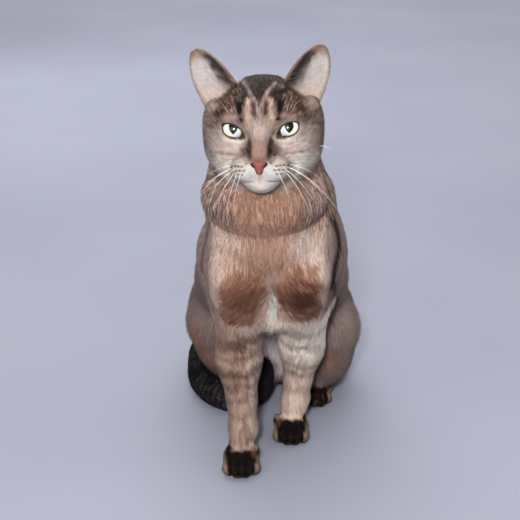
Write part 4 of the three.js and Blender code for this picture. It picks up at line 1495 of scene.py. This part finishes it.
def scatter_roots(rng, share_of_tufts):
    """Places on the skin for the roots of the tufts, with the skin's normal and map place there."""
    tri = SkinParts.triangles
    corner = SkinParts.points[tri]
    area = length_of(np.cross(corner[:, 1] - corner[:, 0], corner[:, 2] - corner[:, 0])) / 2
    centre = corner.mean(1)
    ear, tail = SkinParts.ear[tri[:, 0]], SkinParts.tail[tri[:, 0]]
    many = coat_measures(centre, ear, tail)[3] * hair_grows(centre) * share_of_tufts
    # evenly spaced picks along the running total, so that tufts don't bunch
    running = np.cumsum(area * many)
    count = int(running[-1])
    picks = (np.arange(count) + rng.random(count)) / count * running[-1]
    face = np.minimum(np.searchsorted(running, picks), len(tri) - 1)
    a, b = rng.random((2, len(face)))
    over = a + b > 1
    a[over], b[over] = 1 - a[over], 1 - b[over]
    share = np.column_stack([1 - a - b, a, b])
    root, normal, uv = (
        np.einsum("ij,ijk->ik", share, values)
        for values in (corner[face], SkinParts.normals[tri[face]], SkinParts.uv[face])
    )
    keep = rng.random(count) < hair_grows(root)
    return [v[keep] for v in (root, unit(normal), uv, ear[face], tail[face])]


def comb(root, normal, ear, tail):
    """The way each tuft lies, how far it stands inside an ear and at its medial edge, and at an ear's root."""
    way = lie_of_coat(root, normal, ear, tail)
    q = to_head(root)
    lift = (ear == 0) * ear_roots(q) * (above_nape(root) > 0)
    inside, medial = np.zeros(len(root)), np.zeros(len(root))
    for _, side in SIDES:
        scoop = EAR[side]
        mine = ear == side
        inside[mine] = ramp(0.0, 0.3, normal[mine] @ HEAD_TURN @ scoop.facing)
        v, across, _ = scoop.shares(q[mine])
        medial[mine] = ramp(0.1, 0.5, scoop.edge(v, across)) * ramp(0.75, 0.45, v)
        # hair inside the ear leans from the medial wall out over the opening
        outwards = (scoop.axis * 0.75 - scoop.across * scoop.medial * 0.85) @ HEAD_TURN.T
        way[mine] = mix(way[mine], outwards, (inside[mine] * medial[mine])[:, None])
        mine = (lift > 0) & (q[:, 0] * side > 0)
        upwards = (scoop.axis * 0.9 + np.array((side * 0.5, 0.1, 0))) @ HEAD_TURN.T
        way[mine] = mix(way[mine], upwards, (lift[mine] * 0.95)[:, None])
    return flattened(way, normal), inside, medial, lift


def grow_coat(sizes):
    rng = np.random.default_rng(7)
    root, normal, uv, ear, tail = scatter_roots(rng, sizes.tufts)
    count = len(root)
    length, width, height, _ = coat_measures(root, ear, tail)
    way, inside, medial, lift = comb(root, normal, ear, tail)
    length = mix(length, 8.5, inside * medial)
    height = np.where(inside > 0.5, height * (0.5 + 1.8 * medial), height)
    width = np.where(inside > 0.5, width * 0.8, width)
    way = unit(way + np.cross(normal, way) * (rng.normal(size=count) * 0.14)[:, None])
    aside = np.cross(normal, way)
    length = length * rng.uniform(0.75, 1.2, count)
    height = height * rng.uniform(0.5, 1.08, count)
    width = width * rng.uniform(0.8, 1.25, count)
    shown_at = root + way * (length * 0.5)[:, None] * (1 - 0.6 * lift)[:, None]
    shown_at = shown_at + normal * coat_depth(root)[:, None]
    colour = ticking(shown_at, markings(shown_at, normal, ear, tail), ear, tail, rng.random(count))

    labels = coat_labels(root, ear, tail)
    material = skin_material("coat_hair", roughness=0.62, scale=900.0, bump=0.0)
    for n, (name, slot, spikes, even) in enumerate(PIECES):
        mine = np.flatnonzero(labels == n)
        groups = max(1, math.ceil(len(mine) * (SPIKE_FACES if spikes else SPINDLE_FACES) / MOST_FACES))
        order = mine[np.argsort(root[mine, 2], kind="stable")]
        for g, part in enumerate(np.array_split(order, groups)):
            title = name if groups == 1 else "%s_%d" % (name, g + 1)
            measures = (v[part] for v in (root, normal, way, aside, length, width, height, uv, colour))
            o = tuft_mesh(title, spikes, even, *measures)
            o.data.materials.append(material)
            finished(o, slot)


# half the width of each tuft's patch on the map for baking, and in mm the lowest height of a tuft's first
# point, and how much higher each further point has to be
PATCH, TUFT_FLOOR, TUFT_STEP = 0.0015, 0.15, 0.1


def tuft_mesh(name, spikes, even, root, normal, way, aside, length, width, height, uv, colour):
    """Joined closed tufts. A spike has four faces. A spindle has six and bends over towards the skin. Each tuft
    is painted darker at its root, as painted shade deep in the coat.
    """
    length, height, half = length[:, None], height[:, None], width[:, None] / 2
    tip = root + way * length + normal * height
    if spikes:
        base = root - normal * 0.15
        verts = [base + aside * half, base - aside * half, base + normal * half * 0.9, tip]
        faces = np.array([(0, 1, 2), (0, 3, 1), (1, 3, 2), (2, 3, 0)])
        # painted shade: each spike is darker at its root, deep in the coat, and a little paler at its tip, as
        # the hair's own paler band
        root_shade_and_tip_band = np.array([0.84, 0.84, 0.9, 1.03]) if even else np.array([0.66, 0.66, 0.78, 1.06])
        lean = 0.3 if even else 0.5
        sides = [normal * 0.8 + aside * lean, normal * 0.8 - aside * lean]
        out = [*sides, normal, normal * 0.9 + way * lean * 0.8]
    else:
        middle = root + way * length * 0.42 + normal * height * 0.74
        low = middle - normal * half * 0.4
        verts = [root - normal * 0.3, low + aside * half, low - aside * half, middle + normal * half * 0.8, tip]
        faces = np.array([(0, 1, 2), (0, 2, 3), (0, 3, 1), (4, 2, 1), (4, 3, 2), (4, 1, 3)])
        # painted shade: each spindle is darker at its root, deep in the coat, and a little paler at its tip, as
        # the hair's own paler band
        root_shade_and_tip_band = np.array([0.66, 0.88, 0.88, 0.98, 1.1])
        sides = [normal * 0.8 + aside * 0.5, normal * 0.8 - aside * 0.5]
        out = [normal - way * 0.3, *sides, normal, normal * 0.9 + way * 0.4]
    verts = np.stack(verts, 1)
    per = verts.shape[1]
    verts[..., 2] = np.maximum(verts[..., 2], TUFT_FLOOR + TUFT_STEP * np.arange(per))
    faces = (faces[None] + (np.arange(len(root)) * per)[:, None, None]).reshape(-1, 3)
    o = mesh_object(name, to_world(verts.reshape(-1, 3)), faces)
    o.data.normals_split_custom_set_from_vertices(unit(np.stack(out, 1).reshape(-1, 3)).astype(np.float32))
    shown = np.clip(colour[:, None] * root_shade_and_tip_band[None, :, None], DARKEST, PALEST)
    colour_vertices(o.data, "coat_colour", shown.reshape(-1, 3))
    layer = o.data.uv_layers.new(name="OFBake")
    patch = np.array([(-1, -1), (1, -1), (0, 0), (0, 1), (0.5, 0.5)])[:per] * PATCH
    place = (uv[:, None] + patch[None]).reshape(-1, 2)
    layer.data.foreach_set("uv", place[faces.ravel()].astype(np.float32).ravel())
    return o


# ---------------------------------------------------------------- eyes, nose and whiskers

# where the viewer's eye is, at which the cat looks
CAMERA = np.array((0, -871.7, 611.0))
# how far the pupil lies outwards and upwards of the line from the eye to the viewer, in mm
GAZE = (1.0, 2.6)


def eye_colours(ball, iris):
    """Colours of the iris, its edges, a painted sheen on it, the inner corner, the back and the pupil on a ball
    of radius 1.
    """
    u, v = ball[:, 0] * EYE_RADIUS, ball[:, 1] * EYE_RADIUS
    far, around = np.hypot(u, v), np.arctan2(v, u)
    rays = 0.5 + 0.5 * np.sin(around * 61 + 2 * np.sin(around * 17) + far * 0.4) * np.sin(around * 37 + 1.3)
    colour = np.array(iris) * (0.9 + 0.13 * rays)[:, None]
    pupil = np.abs(u) / 3.4 + (np.abs(v) / 5.6) ** 2.2
    for rgb, amount in (
        ((190, 210, 176), ramp(6.4, 2.8, far) * 0.7),
        # painted sheen: a bluish-white reflection on the lower inner part of the iris
        ((190, 206, 222), spot(ball * EYE_RADIUS, (-6.0, -6.6, 8.0), (4.2, 3.6, 8.0), 0.6) * 0.85),
        ((150, 158, 148), ramp(9.4, 10.2, far) * 0.5),
        ((30, 34, 50), spot(ball * EYE_RADIUS, (-9.4, -7.4, 4.0), (4.0, 4.0, 8.0), 0.35)),
        ((60, 52, 52), (ball[:, 2] < 0) * 1.0),
        ((3, 4, 5), ramp(1.1, 0.96, pupil) * (ball[:, 2] > 0)),
    ):
        colour = mix(colour, linear(rgb), np.clip(amount, 0, 1)[:, None])
    return colour


def make_eye(side, name, material, iris):
    """One eyeball. Its pole looks ahead, and its cornea stands a little proud."""
    bpy.ops.mesh.primitive_uv_sphere_add(segments=192, ring_count=112, radius=EYE_RADIUS * MM)
    o = bpy.context.object
    o.name = o.data.name = "eyeball_" + name
    ball = points_of(o.data) / MM / EYE_RADIUS
    centre = from_head([eye_centre(side)])[0]
    sight = (CAMERA - centre) / np.linalg.norm(CAMERA - centre)
    gaze = sight + (side * GAZE[0] / EYE_RADIUS, 0, GAZE[1] / EYE_RADIUS)
    gaze /= np.linalg.norm(gaze)
    out = np.cross(gaze, (0, 0, 1.0)) * -side
    out /= np.linalg.norm(out)
    up = np.cross(out, gaze) * side
    up *= np.sign(up[2])
    a, b, c = ball.T
    cornea = ramp(0.62, 0.9, c) * 0.04
    turned_ball = (a[:, None] * out + b[:, None] * up + c[:, None] * gaze) * (1 + cornea)[:, None]
    set_points(o.data, to_world(centre + turned_ball * EYE_RADIUS))
    colour_vertices(o.data, "eye_colour", eye_colours(ball, iris))
    face_outwards(o)
    bpy.ops.object.shade_smooth()
    o.data.materials.append(material)
    finished(o, "eye", "eye_" + name)


def make_lid_rims(material):
    """The dark bare edge of the lids, along the opening."""
    ring = almond_outline(26, 0.1)
    radius = EYE_RADIUS + 0.5
    forward = np.sqrt(np.maximum(radius**2 - (ring**2).sum(1), 1.0))
    paths = []
    for _, side in SIDES:
        out, up, ahead = eye_axes(side)
        places = eye_centre(side) + ring[:, :1] * out + ring[:, 1:] * up + forward[:, None] * ahead
        paths.append((from_head(places), np.full(len(places), 0.78), True))
    o = threads("lid_rims", paths, sides=8)
    o.data.materials.append(material)
    finished(o, "nose")


NOSE_MIDDLE = np.array((0, -61.5, -27.0))


def nostril_line(s):
    return [(s * 2.7, -68.4, -28.0), (s * 4.6, -66.8, -26.6), (s * 6.8, -63.5, -26.4)]


def nose_field(q):
    """The nose leather, with its nostrils, the slits beside them and the groove between them."""
    value = nose_local(q)
    for s in (-1, 1):
        value = -soft_min(-value, crease(nostril_line(s), 0.95)(q), 0.6)
        value = -soft_min(-value, crease([(s * 7.6, -64.5, -28.4), (s * 3.6, -67.6, -32.4)], 1.3)(q), 0.8)
    return -soft_min(-value, crease([(0, -67.9, -27), (0, -67.4, -34)], 0.42)(q), 0.5)


def nose_colours(q, leather):
    """The leather's colour, darker along its edges, with painted shade in the nostrils."""
    x, _, z = q.T
    edge = ramp(4.8, 7.2, np.abs(x)) * 0.6 + ramp(-24.4, -22.8, z) * 0.5
    edge += ramp(0.0, 1.2, np.abs(x) - np.maximum(5.4 + (z + 26) * 0.85, 1.2)) * 1.2
    hole = np.zeros(len(q))
    for s in (-1, 1):
        # painted shade: the nostrils are painted dark
        hole = np.maximum(hole, stroke(q, nostril_line(s), 1.6, 0.6))
        hole = np.maximum(hole, 1.2 * spot(q, (s * 7.0, -63, -24.4), (2.6, 6, 2.0), 0.5))
    dark = linear((36, 20, 19))
    return mix(np.array(leather), dark, np.clip(edge * 0.7 + hole * 0.85, 0, 1)[:, None])


def make_nose(material, leather):
    bpy.ops.mesh.primitive_ico_sphere_add(subdivisions=6, radius=9 * MM)
    o = bpy.context.object
    o.name = o.data.name = "nose_leather"
    q = points_of(o.data) / MM + NOSE_MIDDLE
    # a ray from the middle of the nose to its surface keeps the net even
    way = unit(q - NOSE_MIDDLE)
    far = np.full(len(q), 9.0)
    for _ in range(24):
        far = np.clip(far - 0.6 * nose_field(NOSE_MIDDLE + way * far[:, None]), 0.5, 12)
    set_points(o.data, to_world(from_head(NOSE_MIDDLE + way * far[:, None])))
    apply_modifier(o, "SMOOTH", factor=0.5, iterations=1)
    bpy.ops.object.shade_smooth()
    colour_vertices(o.data, "coat_colour", nose_colours(to_head(to_cat(points_of(o.data))), leather))
    o.data.materials.append(material)
    finished(o, "nose", "nose")


def surface_point(q):
    """The nearest place on the skin of the face to a place in the head's frame."""
    return settle(from_head(np.atleast_2d(q)), detailed_skin_field, turns=4, reach=20.0)[0]


def hair_path(start, reach, sag, steps, radius):
    """A stiff hair from start that ends at start + reach, setting out above that line by sag."""
    s = np.linspace(0, 1, steps)
    places = start + reach * s[:, None] + np.array((0, 0, 1.0)) * (sag * 4 * s * (1 - s))[:, None]
    # the root stands a millimetre deep in the skin
    places[0] -= (places[1] - places[0]) / np.linalg.norm(places[1] - places[0])
    return places, radius * (1 - 0.8 * s), False


# root on the face, then the reach to the tip, outwards, forwards and upwards, for each side
WHISKERS = {
    -1: (
        ((23.0, -46, -27.5), (19, -3, -6)),
        ((24.0, -45, -30.5), (25, -6, -14)),
        ((21.0, -52, -30.0), (25, -7, -18)),
        ((18.0, -58, -29.0), (24, -8, -23)),
        ((20.5, -56, -33.0), (17, -8, -29)),
        ((17.4, -59, -32.5), (9, -8, -28)),
        ((14.3, -61, -32.0), (6, -7, -21)),
    ),
    1: (
        ((23.0, -46, -27.5), (25, -4, -10)),
        ((24.0, -45, -30.0), (43, -8, -38)),
        ((21.0, -52, -30.0), (28, -8, -18)),
        ((18.0, -58, -29.0), (26, -9, -27)),
        ((20.5, -56, -33.0), (20, -9, -32)),
        ((14.3, -61, -32.0), (12, -8, -28)),
        ((47, -12, -17), (13, -4, -4)),
    ),
}
BROW_HAIRS = (((22.5, -38, 14.5), (4, -9, 17)), ((26.5, -37, 14.0), (9, -8, 15)))


def make_whiskers(material):
    rng = np.random.default_rng(3)
    paths = []
    for _, side in SIDES:
        for root, reach in WHISKERS[side]:
            root, reach = np.array((root, reach)) * (side, 1, 1)
            sag = np.linalg.norm(reach) * rng.uniform(0.07, 0.1)
            paths.append(hair_path(surface_point(root), reach, sag, steps=18, radius=0.2))
        for root, reach in BROW_HAIRS:
            root, reach = np.array((root, reach)) * (side, 1, 1)
            reach = reach * rng.uniform(0.8, 1.0)
            paths.append(hair_path(surface_point(root), reach, sag=1.5, steps=10, radius=0.1))
    o = threads("whiskers", paths, sides=6)
    o.data.materials.append(material)
    finished(o, "coat")


# ---------------------------------------------------------------- floor, lights and camera

# the middle of the cat, at which most lights shine
AIM = (8, 40, 200)
# name, place, the place that it shines at, its width in metres and its power
LIGHTS = (
    ("key", (-80, -930, 760), AIM, 0.12, 11.7),
    ("overhead", (0, 500, 2400), (0, 500, 0), 2.6, 42),
    ("far_floor", (0, 2700, 2400), (0, 2900, 0), 2.4, 60),
    ("front_fill", (-900, -1300, 900), AIM, 1.0, 5),
    ("side_fill", (1200, 0, 700), AIM, 0.9, 2),
    ("back_fill", (-500, 1300, 900), AIM, 1.0, 6),
)


def make_floor(looks):
    bpy.ops.mesh.primitive_grid_add(x_subdivisions=8, y_subdivisions=8, size=9)
    floor = bpy.context.object
    floor.name = floor.data.name = "floor"
    material, nodes, links, shader = new_material("floor_paper", Roughness=0.9, Specular_IOR_Level=0.1)
    tones = nodes.new("ShaderNodeValToRGB")
    for stop, place, colour in zip(tones.color_ramp.elements, (0.3, 0.7), (looks.floor_shade, looks.floor)):
        stop.position, stop.color = place, (*colour, 1)
    links.new(object_grain(nodes, links, 3.0), tones.inputs["Fac"])
    links.new(tones.outputs["Color"], shader.inputs["Base Color"])
    floor.data.materials.append(material)


def make_world():
    world = bpy.data.worlds.new("studio")
    bpy.context.scene.world = world
    world.use_nodes = True
    sky = world.node_tree.nodes["Background"]
    sky.inputs["Color"].default_value = (*linear((228, 230, 236)), 1)
    sky.inputs["Strength"].default_value = 0.3


def make_light(name, place, aim, size, power):
    data = bpy.data.lights.new(name, "AREA")
    data.shape, data.size, data.energy = "DISK", size, power
    o = bpy.data.objects.new(name, data)
    o.location = to_world(place)
    o.rotation_euler = (Vector(to_world(aim)) - o.location).to_track_quat("-Z", "Y").to_euler()
    bpy.context.scene.collection.objects.link(o)


def make_camera():
    scene = bpy.context.scene
    camera = bpy.data.cameras.new("camera")
    camera.sensor_width, camera.lens = 36, 74.77
    camera.clip_start, camera.clip_end = 0.01, 50
    o = bpy.data.objects.new("camera", camera)
    o.location = to_world(CAMERA)
    o.rotation_euler = (math.radians(65), 0, 0)
    scene.collection.objects.link(o)
    scene.camera = o
    scene.view_settings.view_transform = "Standard"


# ---------------------------------------------------------------- settings, operators and panel


class CatSizes(bpy.types.PropertyGroup):
    skin_grain: bpy.props.FloatProperty(
        name="Skin grain", description="Size of the skin's net on the body", default=0.0026, unit="LENGTH"
    )
    skin_share: bpy.props.FloatProperty(
        name="Skin share", description="Share of the skin's triangles that stay", default=0.64, subtype="FACTOR"
    )
    coat_depth: bpy.props.FloatProperty(
        name="Tail coat depth", description="How deep the coat lies on the tail", default=0.0034, unit="LENGTH"
    )
    tufts: bpy.props.FloatProperty(
        name="Tufts", description="Share of the full number of tufts", default=1.0, subtype="FACTOR"
    )


class CatLooks(bpy.types.PropertyGroup):
    iris: bpy.props.FloatVectorProperty(
        name="Iris", description="Pale colour of the iris", default=tuple(linear((222, 228, 208))),
        size=3, subtype="COLOR",
    )  # fmt: skip
    lid_edge: bpy.props.FloatVectorProperty(
        name="Lid edges", description="Colour of the lids' bare edges", default=tuple(linear((34, 24, 20))),
        size=3, subtype="COLOR",
    )  # fmt: skip
    nose: bpy.props.FloatVectorProperty(
        name="Nose", description="Colour of the nose leather", default=tuple(linear((134, 80, 70))),
        size=3, subtype="COLOR",
    )  # fmt: skip
    whisker: bpy.props.FloatVectorProperty(
        name="Whiskers", description="Colour of the whiskers", default=(0.86, 0.83, 0.8),
        size=3, subtype="COLOR",
    )  # fmt: skip
    floor: bpy.props.FloatVectorProperty(
        name="Floor", description="Paler colour of the floor", default=tuple(linear((148, 150, 163))),
        size=3, subtype="COLOR",
    )  # fmt: skip
    floor_shade: bpy.props.FloatVectorProperty(
        name="Floor shade", description="Darker colour of the floor", default=tuple(linear((142, 144, 158))),
        size=3, subtype="COLOR",
    )  # fmt: skip


class CAT_OT_skin(bpy.types.Operator):
    """Makes the one skin of the body, head, ears and tail"""

    bl_idname = "cat.skin"
    bl_label = "Make Skin"

    def execute(self, context):
        skin = make_skin(context.scene.cat_sizes)
        study_skin(skin)
        finished(skin, "coat", *FLESH, *EARS, *TAIL)
        return {"FINISHED"}


class CAT_OT_eyes(bpy.types.Operator):
    """Makes the eyeballs and the dark edges of the lids"""

    bl_idname = "cat.eyes"
    bl_label = "Make Eyes"

    def execute(self, context):
        clear_selection()
        looks = context.scene.cat_looks
        material = eye_material()
        for name, side in SIDES:
            make_eye(side, name, material, looks.iris)
        make_lid_rims(new_material("lid_edge", Base_Color=(*looks.lid_edge, 1), Roughness=0.32)[0])
        return {"FINISHED"}


class CAT_OT_nose(bpy.types.Operator):
    """Makes the nose leather with its nostrils"""

    bl_idname = "cat.nose"
    bl_label = "Make Nose"

    def execute(self, context):
        clear_selection()
        material = skin_material("nose_leather", roughness=0.42, scale=1400.0, bump=0.6)
        make_nose(material, context.scene.cat_looks.nose)
        return {"FINISHED"}


class CAT_OT_coat(bpy.types.Operator):
    """Grows the tufts of the coat on the skin"""

    bl_idname = "cat.coat"
    bl_label = "Grow Coat"

    def execute(self, context):
        clear_selection()
        grow_coat(context.scene.cat_sizes)
        return {"FINISHED"}


class CAT_OT_whiskers(bpy.types.Operator):
    """Makes the whiskers and the brow hairs"""

    bl_idname = "cat.whiskers"
    bl_label = "Make Whiskers"

    def execute(self, context):
        clear_selection()
        looks = context.scene.cat_looks
        make_whiskers(new_material("whisker", Base_Color=(*looks.whisker, 1), Roughness=0.4)[0])
        return {"FINISHED"}


class CAT_OT_stage(bpy.types.Operator):
    """Sets the floor, the lights and the camera"""

    bl_idname = "cat.stage"
    bl_label = "Set Stage"

    def execute(self, context):
        clear_selection()
        make_floor(context.scene.cat_looks)
        make_world()
        for light in LIGHTS:
            make_light(*light)
        make_camera()
        return {"FINISHED"}


class CAT_PT_panel(bpy.types.Panel):
    bl_label = "Sitting Cat"
    bl_idname = "CAT_PT_panel"
    bl_space_type = "VIEW_3D"
    bl_region_type = "UI"
    bl_category = "Cat"

    def draw(self, context):
        for group in (context.scene.cat_sizes, context.scene.cat_looks):
            for key in group.bl_rna.properties.keys():
                if key not in ("rna_type", "name"):
                    self.layout.prop(group, key)
        for step in STEPS:
            self.layout.operator(step.bl_idname)


STEPS = (CAT_OT_skin, CAT_OT_eyes, CAT_OT_nose, CAT_OT_whiskers, CAT_OT_coat, CAT_OT_stage)
CLASSES = (CatSizes, CatLooks, *STEPS, CAT_PT_panel)


def register():
    for cls in CLASSES:
        bpy.utils.register_class(cls)
    bpy.types.Scene.cat_sizes = bpy.props.PointerProperty(type=CatSizes)
    bpy.types.Scene.cat_looks = bpy.props.PointerProperty(type=CatLooks)


def unregister():
    del bpy.types.Scene.cat_sizes, bpy.types.Scene.cat_looks
    for cls in reversed(CLASSES):
        bpy.utils.unregister_class(cls)


def main():
    register()
    for step in STEPS:
        group, name = step.bl_idname.split(".")
        getattr(getattr(bpy.ops, group), name)()


if __name__ == "__main__":
    main()
